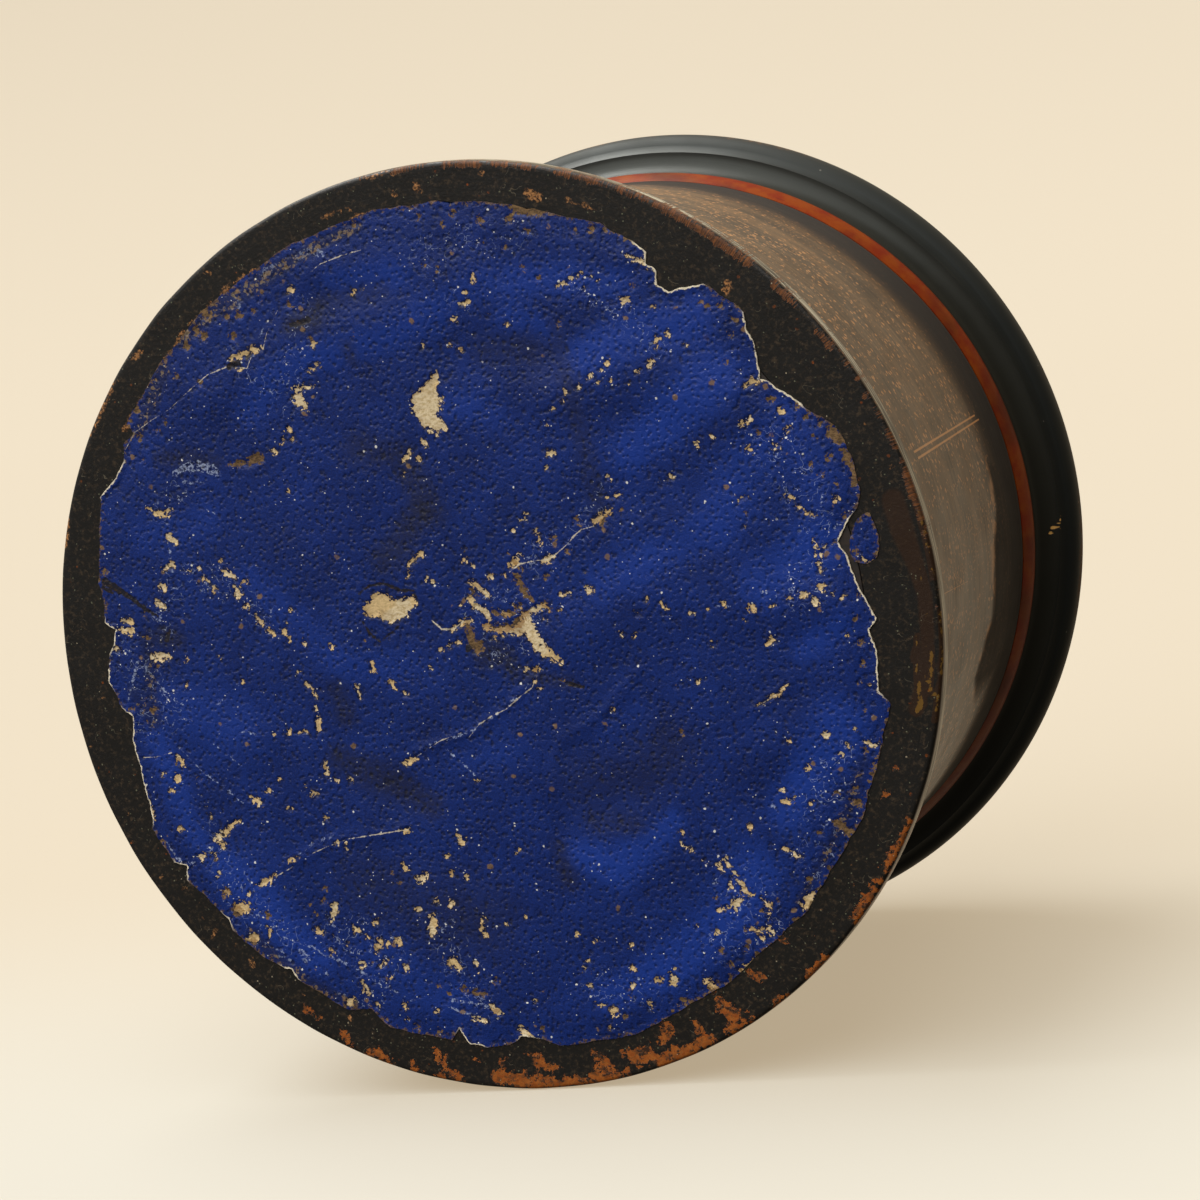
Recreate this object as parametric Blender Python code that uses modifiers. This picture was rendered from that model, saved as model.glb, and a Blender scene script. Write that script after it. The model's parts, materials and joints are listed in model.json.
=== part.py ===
"""Turned wooden string box with a push-fit lid, a string hole and a torn sheet of paper under its foot.

The box stands upright on its underside. Its axis is Z, and the origin is the middle of what it stands on.
All lengths are in metres. Angles round the axis are in degrees, counted from +X towards +Y.
"""

import math

import bpy

# Wall and foot of the case
WALL_RADIUS = 0.0404
WALL_THICKNESS = 0.0035
CASE_HEIGHT = 0.0594
FOOT_COVE_RADIUS = 0.0040
FOOT_LEDGE_WIDTH = 0.0002
FOOT_FILLET_HEIGHT = 0.0022
FOOT_EDGE_ROUND = 0.0004

# Bottom disc, and the paper glued under it
DISC_THICKNESS = 0.0036
DISC_REBATE_WIDTH = 0.0011
PAPER_THICKNESS = 0.0003

# Coloured band in the shoulder of the wall
BAND_HEIGHT = 0.0027
BAND_SEAT_WIDTH = 0.0012
BAND_BULGE = 0.0008
BAND_CREST_DEPTH = 0.0006
BAND_TOP_DEGREES = 60

# Moulded rim of the lid: a hollow, then a roll that starts well under its widest point
LID_FILLET_WIDTH = 0.0005
RIM_COVE_RADIUS = 0.0024
RIM_QUIRK_HEIGHT = 0.0005
RIM_ROLL_RADIUS = 0.0025
ROLL_UNDERCUT_DEGREES = 75

# Top and inside of the lid
DOME_STEP_WIDTH = 0.0009
DOME_STEP_HEIGHT = 0.0008
DOME_RISE = 0.0068
BOSS_MARGIN = 0.0028
BOSS_HEIGHT = 0.0010
SPIGOT_DEPTH = 0.0050
SPIGOT_THICKNESS = 0.0022
CEILING_THICKNESS = 0.0038

# Bush in the string hole
STRING_BORE_RADIUS = 0.0035
EYELET_WALL = 0.0012
EYELET_LIP_WIDTH = 0.0025
EYELET_LIP_HEIGHT = 0.0013
EYELET_EDGE_ROUND = 0.0005

# Gap between pieces that touch
FIT_CLEARANCE = 0.0003

# How finely round shapes are cut
TURN_STEPS = 72
SEAM_MERGE = 0.00001
COVE_STEPS = 4
EDGE_STEPS = 2
BAND_STEPS = 10
ROLL_STEPS = 8
DOME_STEPS = 8
SHARP_ANGLE = math.radians(35)

# Torn outline of the sheet: angle round the axis, and radius as a share of the foot's radius
SHEET_OUTLINE_SHARES = (
    (-180, 0.893), (-178, 0.885), (-176.5, 0.872), (-174.5, 0.866), (-173.5, 0.890), (-171, 0.892),
    (-168, 0.905), (-160, 0.918), (-156, 0.928), (-152.5, 0.905), (-150, 0.900), (-147.5, 0.912),
    (-145.6, 0.900), (-145, 0.928), (-135, 0.925), (-125, 0.926), (-110, 0.924), (-97, 0.925),
    (-88, 0.918), (-78, 0.914), (-65, 0.913), (-60, 0.902), (-57.8, 0.898), (-57.2, 0.874),
    (-55.5, 0.871), (-54.5, 0.847), (-52.5, 0.845), (-51.2, 0.868), (-49, 0.900), (-45, 0.905),
    (-42.5, 0.904), (-41, 0.885), (-38.5, 0.872), (-36, 0.845), (-34.7, 0.830), (-33, 0.845),
    (-30, 0.860), (-27, 0.878), (-24, 0.900), (-21.5, 0.907), (-18.5, 0.904), (-15, 0.892),
    (-12.8, 0.875), (-11.6, 0.850), (-10.4, 0.833), (-9, 0.812), (-6.5, 0.822), (-2, 0.836),
    (0, 0.848), (2.5, 0.862), (4, 0.850), (7, 0.862), (12.5, 0.870), (14, 0.897), (20, 0.892),
    (30, 0.900), (45, 0.900), (60, 0.901), (70, 0.903), (76, 0.914), (80, 0.908), (87, 0.907),
    (89.5, 0.888), (92.5, 0.880), (94.5, 0.900), (98, 0.910), (100.5, 0.905), (102, 0.872),
    (103, 0.904), (112, 0.914), (115.5, 0.888), (118.5, 0.914), (127, 0.910), (128.5, 0.900),
    (133, 0.918), (138.5, 0.920), (140, 0.905), (148, 0.922), (149.6, 0.903), (151, 0.920),
    (156.5, 0.925), (158, 0.910), (163, 0.890), (169, 0.878), (172.5, 0.860), (174, 0.880),
    (178, 0.898),
)

# Outline of the scrap beside the sheet, in the same form
SCRAP_OUTLINE_SHARES = (
    (-11.6, 0.894), (-9.5, 0.900), (-7, 0.896), (-5.5, 0.882), (-4.9, 0.860), (-5.5, 0.838),
    (-7.2, 0.833), (-8.8, 0.838), (-10.2, 0.850), (-11.3, 0.866),
)


# Radii that several pieces share
foot_radius = WALL_RADIUS + FOOT_COVE_RADIUS + FOOT_LEDGE_WIDTH + FOOT_EDGE_ROUND
bore_radius = WALL_RADIUS - WALL_THICKNESS
disc_seat_radius = bore_radius + DISC_REBATE_WIDTH
band_inner_radius = WALL_RADIUS - BAND_SEAT_WIDTH
rim_cove_inner_radius = WALL_RADIUS + LID_FILLET_WIDTH
rim_cove_outer_radius = rim_cove_inner_radius + RIM_COVE_RADIUS
roll_center_radius = rim_cove_outer_radius - RIM_ROLL_RADIUS * math.cos(math.radians(ROLL_UNDERCUT_DEGREES))
spigot_radius = bore_radius - FIT_CLEARANCE
eyelet_radius = STRING_BORE_RADIUS + EYELET_WALL
eyelet_lip_radius = eyelet_radius + EYELET_LIP_WIDTH
boss_radius = eyelet_lip_radius + BOSS_MARGIN
hole_radius = eyelet_radius + FIT_CLEARANCE

# Levels up the axis that several pieces share
underside_z = PAPER_THICKNESS + FIT_CLEARANCE
case_top_z = underside_z + CASE_HEIGHT
band_seat_z = case_top_z - BAND_HEIGHT - FIT_CLEARANCE
lid_seat_z = case_top_z + FIT_CLEARANCE
roll_center_z = lid_seat_z + RIM_COVE_RADIUS + RIM_QUIRK_HEIGHT + RIM_ROLL_RADIUS
roll_top_z = roll_center_z + RIM_ROLL_RADIUS
dome_edge_z = roll_top_z + DOME_STEP_HEIGHT
boss_top_z = dome_edge_z + DOME_RISE + BOSS_HEIGHT
ceiling_edge_z = dome_edge_z - CEILING_THICKNESS


def material(name, color, roughness, metallic=0.0):
    """A Principled material of one colour."""
    made = bpy.data.materials.new(name)
    made.use_nodes = True
    shader = made.node_tree.nodes["Principled BSDF"]
    shader.inputs["Base Color"].default_value = (*color, 1.0)
    shader.inputs["Roughness"].default_value = roughness
    shader.inputs["Metallic"].default_value = metallic
    made.diffuse_color = (*color, 1.0)
    return made


def arc(center_x, center_z, radius, start, end, steps=COVE_STEPS):
    """Points of an arc in the XZ plane, from the start angle to the end angle in degrees."""
    angles = [math.radians(start + (end - start) * step / steps) for step in range(steps + 1)]
    return [(center_x + radius * math.cos(a), center_z + radius * math.sin(a)) for a in angles]


def turned(name, profile, finish, collection, closed=True):
    """A solid of revolution about Z. The profile runs down its outer side, then back up its inner side."""
    points = [(x, 0.0, z) for x, z in profile]
    edges = [(index, index + 1) for index in range(len(points) - 1)]
    if closed:
        edges.append((len(points) - 1, 0))
    outline = bpy.data.meshes.new(name + "_profile")
    outline.from_pydata(points, edges, [])
    piece = bpy.data.objects.new(name, outline)
    collection.objects.link(piece)
    screw = piece.modifiers.new("Turn", "SCREW")
    screw.axis = "Z"
    screw.angle = math.tau
    screw.steps = TURN_STEPS
    screw.render_steps = TURN_STEPS
    screw.use_merge_vertices = True
    screw.merge_threshold = SEAM_MERGE

    # The turned mesh replaces the profile, so that its arrises can stay crisp and its curves smooth
    graph = bpy.context.evaluated_depsgraph_get()
    solid = bpy.data.meshes.new_from_object(piece.evaluated_get(graph))
    solid.name = name
    piece.modifiers.clear()
    piece.data = solid
    bpy.data.meshes.remove(outline)
    solid.materials.append(finish)
    solid.shade_smooth()
    solid.set_sharp_from_angle(angle=SHARP_ANGLE)
    return piece


def sheet_of_paper(name, outline_shares, finish, collection):
    """A flat sheet at ground level, cut to an outline given in shares of the foot's radius."""
    curve = bpy.data.curves.new(name, "CURVE")
    curve.dimensions = "2D"
    curve.fill_mode = "BOTH"
    curve.extrude = PAPER_THICKNESS / 2
    spline = curve.splines.new("POLY")
    spline.points.add(len(outline_shares) - 1)
    for point, (angle, share) in zip(spline.points, outline_shares):
        radius = foot_radius * share
        turn = math.radians(angle)
        point.co = (radius * math.cos(turn), radius * math.sin(turn), 0, 1)
    spline.use_cyclic_u = True
    piece = bpy.data.objects.new(name, curve)
    piece.location.z = PAPER_THICKNESS / 2
    curve.materials.append(finish)
    collection.objects.link(piece)
    return piece


def case_profile():
    """The tube: shoulder for the band, wall, cove, foot, rebate for the disc, and bore."""
    foot_top = underside_z + FOOT_FILLET_HEIGHT
    edge_x = foot_radius - FOOT_EDGE_ROUND
    shoulder = [
        (band_inner_radius - FIT_CLEARANCE, case_top_z),
        (band_inner_radius - FIT_CLEARANCE, band_seat_z),
        (WALL_RADIUS, band_seat_z),
    ]
    cove = arc(WALL_RADIUS + FOOT_COVE_RADIUS, foot_top + FOOT_COVE_RADIUS, FOOT_COVE_RADIUS, 180, 270)
    upper_edge = arc(edge_x, foot_top - FOOT_EDGE_ROUND, FOOT_EDGE_ROUND, 90, 0, EDGE_STEPS)
    lower_edge = arc(edge_x, underside_z + FOOT_EDGE_ROUND, FOOT_EDGE_ROUND, 0, -90, EDGE_STEPS)
    rebate_top = underside_z + DISC_THICKNESS + FIT_CLEARANCE
    inside = [
        (disc_seat_radius, underside_z),
        (disc_seat_radius, rebate_top),
        (bore_radius, rebate_top),
        (bore_radius, case_top_z),
    ]
    return shoulder + cove + upper_edge + lower_edge + inside


def disc_profile():
    """The bottom disc, flush with the underside of the foot."""
    radius = disc_seat_radius - FIT_CLEARANCE
    top = underside_z + DISC_THICKNESS
    return [(0.0, top), (radius, top), (radius, underside_z), (0.0, underside_z)]


def band_profile():
    """The band: a strip in the shoulder of the wall, swelling from the wall to a crest near the lid."""
    crest_z = case_top_z - BAND_CREST_DEPTH
    top_turn = math.radians(BAND_TOP_DEGREES)
    swelling = []
    for step in range(BAND_STEPS + 1):
        turn = top_turn - (top_turn + math.pi / 2) * step / BAND_STEPS
        height = BAND_CREST_DEPTH / math.sin(top_turn) if turn > 0 else BAND_HEIGHT - BAND_CREST_DEPTH
        swelling.append((WALL_RADIUS + BAND_BULGE * math.cos(turn), crest_z + height * math.sin(turn)))
    return [(band_inner_radius, case_top_z)] + swelling + [(band_inner_radius, case_top_z - BAND_HEIGHT)]


def dome(edge_z, outer, inner):
    """Points of a low dome, falling from its inner radius to its outer one, level at the top."""
    points = []
    for step in range(DOME_STEPS + 1):
        turn = math.pi / 2 * step / DOME_STEPS
        points.append((inner + (outer - inner) * math.sin(turn), edge_z + DOME_RISE * math.cos(turn)))
    return points


def lid_profile():
    """The lid: boss, dome, roll, cove, seat, spigot, and the hollow under the dome."""
    dome_radius = roll_center_radius - DOME_STEP_WIDTH
    boss = [(hole_radius, boss_top_z), (boss_radius, boss_top_z)]
    crown = dome(dome_edge_z, dome_radius, boss_radius)
    step = [(dome_radius, roll_top_z)]
    roll = arc(roll_center_radius, roll_center_z, RIM_ROLL_RADIUS, 90, -ROLL_UNDERCUT_DEGREES, ROLL_STEPS)
    cove = arc(rim_cove_outer_radius, lid_seat_z, RIM_COVE_RADIUS, 90, 180)
    spigot_inner_radius = spigot_radius - SPIGOT_THICKNESS
    spigot = [
        (spigot_radius, lid_seat_z),
        (spigot_radius, lid_seat_z - SPIGOT_DEPTH),
        (spigot_inner_radius, lid_seat_z - SPIGOT_DEPTH),
    ]
    ceiling = list(reversed(dome(ceiling_edge_z, spigot_inner_radius, hole_radius)))
    return boss + crown + step + roll + cove + spigot + ceiling


def eyelet_profile():
    """The bush: a rounded lip on the boss, and a stem down through the lid."""
    lip_base = boss_top_z + FIT_CLEARANCE
    round_z = lip_base + EYELET_LIP_HEIGHT - EYELET_EDGE_ROUND
    stem_end = ceiling_edge_z + DOME_RISE - FIT_CLEARANCE
    edge = arc(eyelet_lip_radius - EYELET_EDGE_ROUND, round_z, EYELET_EDGE_ROUND, 90, 0, EDGE_STEPS)
    mouth = arc(STRING_BORE_RADIUS + EYELET_EDGE_ROUND, round_z, EYELET_EDGE_ROUND, 180, 90, EDGE_STEPS)
    stem = [
        (eyelet_lip_radius, lip_base),
        (eyelet_radius, lip_base),
        (eyelet_radius, stem_end),
        (STRING_BORE_RADIUS, stem_end),
    ]
    return edge + stem + mouth


def clear_scene():
    """Removes what the scene starts with."""
    for existing in list(bpy.data.objects):
        bpy.data.objects.remove(existing, do_unlink=True)


def build():
    """Makes every piece of the box."""
    clear_scene()
    parts = bpy.data.collections.new("string_box")
    bpy.context.scene.collection.children.link(parts)

    wall_lacquer = material("wall_lacquer", (0.075, 0.055, 0.040), 0.38)
    bottom_wood = material("bottom_wood", (0.055, 0.040, 0.030), 0.55)
    blue_paper = material("blue_paper", (0.010, 0.025, 0.220), 0.42)
    scrap_paper = material("scrap_paper", (0.012, 0.028, 0.200), 0.48)
    red_lacquer = material("red_lacquer", (0.420, 0.055, 0.008), 0.20)
    black_lacquer = material("black_lacquer", (0.012, 0.014, 0.014), 0.28)
    brass = material("brass", (0.620, 0.430, 0.170), 0.32, 1.0)

    turned("case", case_profile(), wall_lacquer, parts)
    turned("base_disc", disc_profile(), bottom_wood, parts, closed=False)
    sheet_of_paper("base_paper", SHEET_OUTLINE_SHARES, blue_paper, parts)
    sheet_of_paper("paper_scrap", SCRAP_OUTLINE_SHARES, scrap_paper, parts)
    turned("red_band", band_profile(), red_lacquer, parts)
    turned("lid", lid_profile(), black_lacquer, parts)
    turned("string_eyelet", eyelet_profile(), brass, parts)


build()
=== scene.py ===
"""Looks of a turned wooden string box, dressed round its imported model.

The box stands upright on Z and the photograph looks up at its underside, so the camera stands below the
foot and the pale floor of the photograph touches the side of the box at +Y. Lengths are in metres. A name
that ends in shares holds thousandths of the foot's radius, seen from below: x to the right, y downwards.
Azimuths are in degrees round the axis, from +X towards +Y. A stroke is a chain of dabs: the place and the
size of each in turn. Single dots stand under their size: the two numbers of each place in turn.
"""

import json
import logging
import math
from collections.abc import Callable, Iterable, Sequence
from dataclasses import dataclass
from enum import Enum
from functools import cached_property

import bmesh
import bpy
import numpy as np
from mathutils import Matrix, Vector, noise
from mathutils.kdtree import KDTree

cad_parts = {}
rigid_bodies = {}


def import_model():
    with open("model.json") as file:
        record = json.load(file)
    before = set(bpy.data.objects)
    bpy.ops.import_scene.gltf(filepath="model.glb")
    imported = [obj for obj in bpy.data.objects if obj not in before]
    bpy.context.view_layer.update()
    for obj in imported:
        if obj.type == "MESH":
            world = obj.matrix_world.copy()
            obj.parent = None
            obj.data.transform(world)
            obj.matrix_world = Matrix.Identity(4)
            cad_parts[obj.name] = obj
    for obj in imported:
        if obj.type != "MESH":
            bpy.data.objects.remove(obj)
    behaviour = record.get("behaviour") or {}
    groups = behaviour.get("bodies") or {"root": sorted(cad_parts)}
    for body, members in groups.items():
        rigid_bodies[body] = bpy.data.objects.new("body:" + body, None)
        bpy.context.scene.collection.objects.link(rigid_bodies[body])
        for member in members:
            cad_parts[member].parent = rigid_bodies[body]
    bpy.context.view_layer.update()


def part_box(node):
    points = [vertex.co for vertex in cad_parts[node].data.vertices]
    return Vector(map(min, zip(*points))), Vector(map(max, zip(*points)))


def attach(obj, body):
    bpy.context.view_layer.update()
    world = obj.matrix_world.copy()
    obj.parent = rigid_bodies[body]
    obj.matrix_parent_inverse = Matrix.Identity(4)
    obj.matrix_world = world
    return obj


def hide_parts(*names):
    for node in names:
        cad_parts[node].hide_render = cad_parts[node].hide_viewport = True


log = logging.getLogger("string_box")

MILLIMETRE = 0.001
THOUSANDTH = 0.001

Colour = tuple[float, float, float]
Stroke = tuple[float, ...]
Band = tuple[float, float]
Waves = tuple[tuple[float, float], ...]

# Torn outline of the sheet: azimuth, and radius share
SHEET_OUTLINE_SHARES = (
    -180, 893, -178, 885, -176.5, 872, -174.5, 866, -173.5, 890, -171, 892, -168, 905, -160, 918, -156, 928,
    -152.5, 905, -150, 900, -147.5, 912, -145.6, 900, -145, 928, -135, 925, -125, 926, -110, 924, -97, 925,
    -88, 918, -78, 914, -65, 913, -60, 902, -57.8, 898, -57.2, 874, -55.5, 871, -54.5, 847, -52.5, 845,
    -51.2, 868, -49, 900, -45, 905, -42.5, 904, -41, 885, -38.5, 872, -36, 845, -34.7, 830, -33, 845, -30,
    860, -27, 878, -24, 900, -21.5, 907, -18.5, 904, -15, 892, -12.8, 875, -11.6, 850, -10.4, 833, -9, 812,
    -6.5, 822, -2, 836, 0, 848, 2.5, 862, 4, 850, 7, 862, 12.5, 870, 14, 897, 20, 892, 30, 900, 45, 900, 60,
    901, 70, 903, 76, 914, 80, 908, 87, 907, 89.5, 888, 92.5, 880, 94.5, 900, 98, 910, 100.5, 905, 102, 872,
    103, 904, 112, 914, 115.5, 888, 118.5, 914, 127, 910, 128.5, 900, 133, 918, 138.5, 920, 140, 905, 148,
    922, 149.6, 903, 151, 920, 156.5, 925, 158, 910, 163, 890, 169, 878, 172.5, 860, 174, 880, 178, 898,
)

# Outline of the scrap beside the sheet, in the same form
SCRAP_OUTLINE_SHARES = (
    -11.6, 894, -9.5, 900, -7, 896, -5.5, 882, -4.9, 860, -5.5, 838, -7.2, 833, -8.8, 838, -10.2, 850,
    -11.3, 866,
)

# Stretches of the outline, in azimuth, whose torn edge shows the white core of the paper
WHITE_EDGES = (
    (-178, -173), (-156, -150), (-60, -49), (-42.5, -34), (-33.5, -28), (-12, 13), (90, 93), (98, 102),
    (127, 130), (139, 141), (148, 151), (157, 174), (177, 181),
)

# Chips that show the cream core of the paper, as strokes and as single dots
CREAM_CHIP_SHARES = (
    (-20, -562, 6, -30, -540, 12, -45, -522, 20, -52, -498, 34, -52, -475, 26, -36, -455, 18, -16, -446, 6),
    (-36, -512, 12, -14, -508, 7), (-36, -450, 8, -33, -430, 3),
    (-244, -76, 18, -218, -88, 24, -205, -68, 25, -175, -70, 21, -148, -88, 12),
    (12, -18, 6, 40, -7, 8, 73, -4, 9, 106, -8, 16, 120, 19, 17, 136, 46, 14, 157, 61, 9, 173, 73, 4),
    (106, -12, 16, 104, -31, 11), (120, -39, 7, 146, -51, 7, 157, -46, 5),
    (-5, -62, 5, 12, -50, 9, 23, -34, 7), (-67, -16, 4, -42, -29, 5, -23, -32, 7),
    (-8, -116, 6, 6, -102, 8, 24, -86, 8), (-140, -166, 6, -112, -184, 6), (-150, -142, 5, -142, -150, 4),
    (84, -138, 4, 100, -150, 9, 111, -161, 4), (158, -144, 5, 176, -147, 8, 186, -155, 4),
    (155, -208, 4, 162, -194, 3, 157, -183, 6), (289, -217, 6, 304, -226, 7, 323, -237, 5),
    (323, -266, 4, 332, -262, 3, 350, -268, 4), (48, -49, 4, 65, -39, 5), (-262, 38, 5, -260, 54, 6),
    (-222, 86, 6, -216, 100, 3), (92, 82, 4, 122, 84, 5), (-214, 262, 7, -194, 254, 6),
    (884, -82, 6, 868, -76, 7, 850, -86, 5), (896, -108, 4, 890, -92, 6), (395, 774, 5, 410, 790, 8),
    (470, 762, 6, 500, 742, 8, 512, 734, 5),
    (272, 183, 4, 262, 190, 3), (-104, -404, 6, -118, -388, 6), (-304, -603, 6, -284, -610, 5),
    (-345, -560, 8, -322, -566, 6, -304, -566, 4), (-344, -546, 13, -334, -530, 10, -326, -518, 5),
    (-396, -455, 4, -388, -459, 4), (-484, -642, 4, -454, -652, 9, -428, -657, 9, -413, -658, 6),
    (-484, -630, 4, -466, -620, 5),
    (-737, -345, 3, -720, -332, 6, -698, -325, 8, -680, -336, 4), (-696, -276, 8, -680, -262, 4),
    (-699, -214, 7, -722, -209, 3), (-750, -134, 8, -732, -122, 6), (-858, -84, 5, -824, -76, 9),
    (-842, -98, 4, -822, -98, 8), (-778, -14, 9, -745, -14, 9), (-630, -180, 3, -604, -152, 6),
    (-574, -188, 8, -556, -174, 4), (-556, -154, 4, -553, -136, 10), (-518, -90, 3, -508, -66, 6),
    (-492, -52, 4, -480, -40, 4), (-455, -45, 8, -444, -64, 3), (-422, 74, 6, -408, 88, 5, -404, 104, 4),
    (-406, 128, 3, -408, 154, 6, -410, 178, 6), (-438, 178, 4, -460, 177, 3), (-306, 90, 4, -300, 114, 3),
    (-403, 246, 3, -404, 272, 6), (-446, 314, 6, -434, 316, 5), (-592, 312, 5, -576, 326, 9),
    (-758, 212, 6, -748, 226, 8), (-845, 308, 6, -846, 345, 6),
    (-690, 398, 8, -664, 384, 8, -650, 370, 6, -632, 362, 4), (-660, 558, 16, -646, 560, 12),
    (-610, 512, 3, -584, 502, 6, -562, 488, 3), (-652, 632, 8, -636, 628, 9), (-602, 604, 5, -600, 628, 4),
    (-703, 574, 4, -696, 598, 3), (-528, 460, 4, -502, 452, 3),
    (-244, 410, 7, -232, 408, 6), (-384, 423, 4), (-432, 566, 7, -438, 584, 9, -448, 600, 6),
    (-486, 616, 7, -472, 626, 7), (-336, 654, 10, -346, 674, 7), (-345, 706, 7, -328, 696, 5),
    (-394, 744, 6, -386, 766, 8), (-432, 786, 8, -424, 776, 5), (-120, 430, 5, -112, 448, 6, -102, 440, 4),
    (-256, 484, 4, -254, 494, 7), (-222, 520, 9, -206, 511, 8), (10, 468, 4, 22, 468, 4),
    (-206, 604, 6, -208, 622, 12, -214, 642, 8), (-172, 708, 13, -162, 720, 8), (-92, 638, 6, -86, 654, 4),
    (-146, 834, 4, -120, 840, 5), (-94, 812, 9, -82, 826, 6), (-37, 862, 8, -22, 882, 4, 2, 888, 3),
    (140, 815, 3, 160, 820, 4), (475, 520, 6, 480, 532, 4),
    (488, 545, 4, 504, 568, 4, 508, 588, 8, 520, 598, 4), (486, 610, 11, 482, 628, 5),
    (444, 624, 4, 462, 620, 3), (540, 604, 3, 552, 618, 9, 554, 634, 5),
    (500, 668, 4, 524, 672, 4, 548, 672, 8, 556, 684, 4), (600, 500, 4, 618, 508, 3, 636, 522, 4),
    (620, 404, 7, 640, 400, 4), (662, 602, 7, 648, 612, 13, 632, 628, 9), (326, 770, 8, 318, 756, 4),
    (478, 578, 7, 480, 560, 3), (468, 540, 3, 456, 528, 7), (404, 495, 3, 384, 478, 3),
    (478, -580, 7, 474, -560, 3), (462, -540, 3, 456, -526, 7), (416, -665, 8, 430, -666, 4),
    (276, -712, 3, 298, -716, 5, 310, -724, 3), (654, -398, 5, 632, -384, 3), (710, -344, 3, 734, -370, 3),
    (76, -702, 5, 58, -698, 3), (92, -756, 5, 94, -742, 3),
    (-322, -774, 7, -330, -768, 4),
    (438, -755, 4, 462, -741, 4, 490, -724, 4, 500, -704, 4), (650, -460, 4, 668, -470, 5, 692, -472, 5),
    (620, -236, 5, 608, -230, 4), (708, -230, 3, 722, -222, 4), (732, -208, 5, 746, -192, 3, 762, -184, 3),
    (756, -134, 3, 753, -100, 3), (756, -88, 4, 760, -64, 3), (764, -104, 4, 782, -120, 3, 802, -126, 3),
    (410, -36, 3, 418, -22, 3), (628, 72, 4, 640, 62, 7),
    (588, 198, 3, 612, 188, 4, 636, 176, 4, 656, 159, 3), (802, 288, 3, 822, 298, 5, 842, 302, 4),
)
CREAM_DOT_SHARES = {
    3: (
        214, -432, -432, -92, -574, 55, -620, -3, -196, 695, 404, -496, 120, -670, 20, -620, 45, -605, -158,
        -760, 585, 19, 448, 129,
    ),
    4: (
        124, -235, -11, -188, 4, -148, 151, -23, 182, -36, 77, -57, 94, -50, 30, 12, 49, 7, -41, -68, -107,
        -132, -93, -120, 113, 126, 252, -115, 193, -70, -70, 15, 255, -474, -368, -456, -360, -500, -400,
        -346, -708, 50, -661, -196, -434, 44, -460, 294, -520, 276, -710, 328, -386, 444, -366, 640, -325,
        730, -300, 830, -118, 729, 10, 617, 5, 801, 158, 676, 139, 720, 550, 654, 617, 378, 332, 748, 390,
        660, 430, 518, 430, -518, 536, -560, 348, -530, 338, -506, 368, -505, 350, -722, 366, -712, 335,
        -700, 566, -367, 74, -722, 155, -645, 610, -175, 780, -20, 649, 277, 790, 262, 800, 66,
    ),
    5: (
        71, -122, 103, -216, 105, 108, 258, -70, -126, 62, -58, 313, 314, 25, -128, -356, 200, -338, 265,
        -492, 231, -460, -700, -6, -636, -200, -580, -212, -536, -108, -446, -28, -516, 176, -386, 290, -352,
        291, -700, 348, -700, 478, -404, 428, -422, 372, -448, 636, -415, 655, -190, 570, -35, 627, 122, 661,
        126, 738, 242, 690, 530, 690, 538, 452, 388, 453, 754, 316, 480, -646, 532, -356, 334, -306, 40,
        -671, -40, -622, 378, -41, 342, 30, 475, -5, 509, -12, 546, -20, 688, -22, 511, 61, 466, 139, 832,
        180,
    ),
    6: (
        -55, 11, 41, -121, -77, 20, 208, -72, -96, 23, 290, -500, -532, -162, -348, -5, -480, 174, -550, 302,
        -784, 284, -776, 372, -504, 346, -322, 656, -150, 474, -112, 522, -120, 712, -90, 617, -226, 815,
        136, 776, 230, 778, 167, 870, 678, 411, 436, 671, 502, -588, 468, -294, -180, -754, 650, -8, 800,
        -12, 728, 271, 770, 295,
    ),
    7: (
        -14, -164, 136, -240, 251, -76, -194, 112, -83, -385, -288, -655, -375, -480, -416, -436, -412, -18,
        -802, 246, -632, 526, -456, 668, -370, 795, -147, 510, -158, 578, 236, 740, 320, 776, 677, 336, 364,
        -544, 322, -520, 326, -728, 718, -404, 698, -334, 643, -332, 355, -16, 720, -23,
    ),
    8: (
        -11, -78, -68, -420, 212, -368, -868, -40, -680, 418, -704, 438, -688, 524, -340, 610, -386, 701,
        -302, 800, -235, 588, -286, 715, 290, 770, 264, 824, 812, -215, 740, -9, 760, -36,
    ),
    9: (-390, 623, -296, 656, 605, -7),
    10: (-730, -168, -766, 258, -736, 438),
    11: (180, 832),
}

# Fine white cracks, as strokes
FINE_LINE_SHARES = (
    (-840, -394, 1.2, -805, -425, 1, -775, -470, 1.4, -741, -511, 1.8, -698, -532, 1.2, -649, -552, 1.6,
     -597, -586, 1.2, -546, -616, 1.6, -493, -629, 2.4, -449, -620, 2.8, -436, -642, 2),
    (-408, -650, 1.4, -392, -689, 1, -360, -734, 0.7), (-841, 206, 2, -809, 207, 1.6, -770, 200, 1.1),
    (-148, -838, 1.8, -193, -832, 1.3, -245, -820, 1.5, -284, -798, 0.9),
    (-232, 408, 2.6, -307, 414, 1.8, -377, 420, 1.6, -430, 434, 1.1, -476, 450, 0.9),
    (-519, 474, 1.5, -574, 498, 1.2, -609, 520, 0.8), (-78, 206, 1.1, -129, 220, 1.4, -198, 255, 0.9),
    (83, -128, 2.2, 110, -144, 2.6, 149, -147, 2.3, 176, -147, 2.4, 198, -160, 2.1, 221, -175, 2.3,
     239, -192, 2.1, 256, -203, 1.8, 284, -207, 1.5), (603, 192, 1.5, 624, 181, 1.8, 650, 166, 1.2),
    (-109, -41, 2, -89, -20, 3, -62, -18, 2.6, -37, -33, 2.6),
    (113, 96, 1.1, 98, 121, 1.6, 66, 140, 1.8, 32, 163, 2, -4, 176, 1.7, -34, 191, 1.5, -61, 217, 1.1),
)

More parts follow.
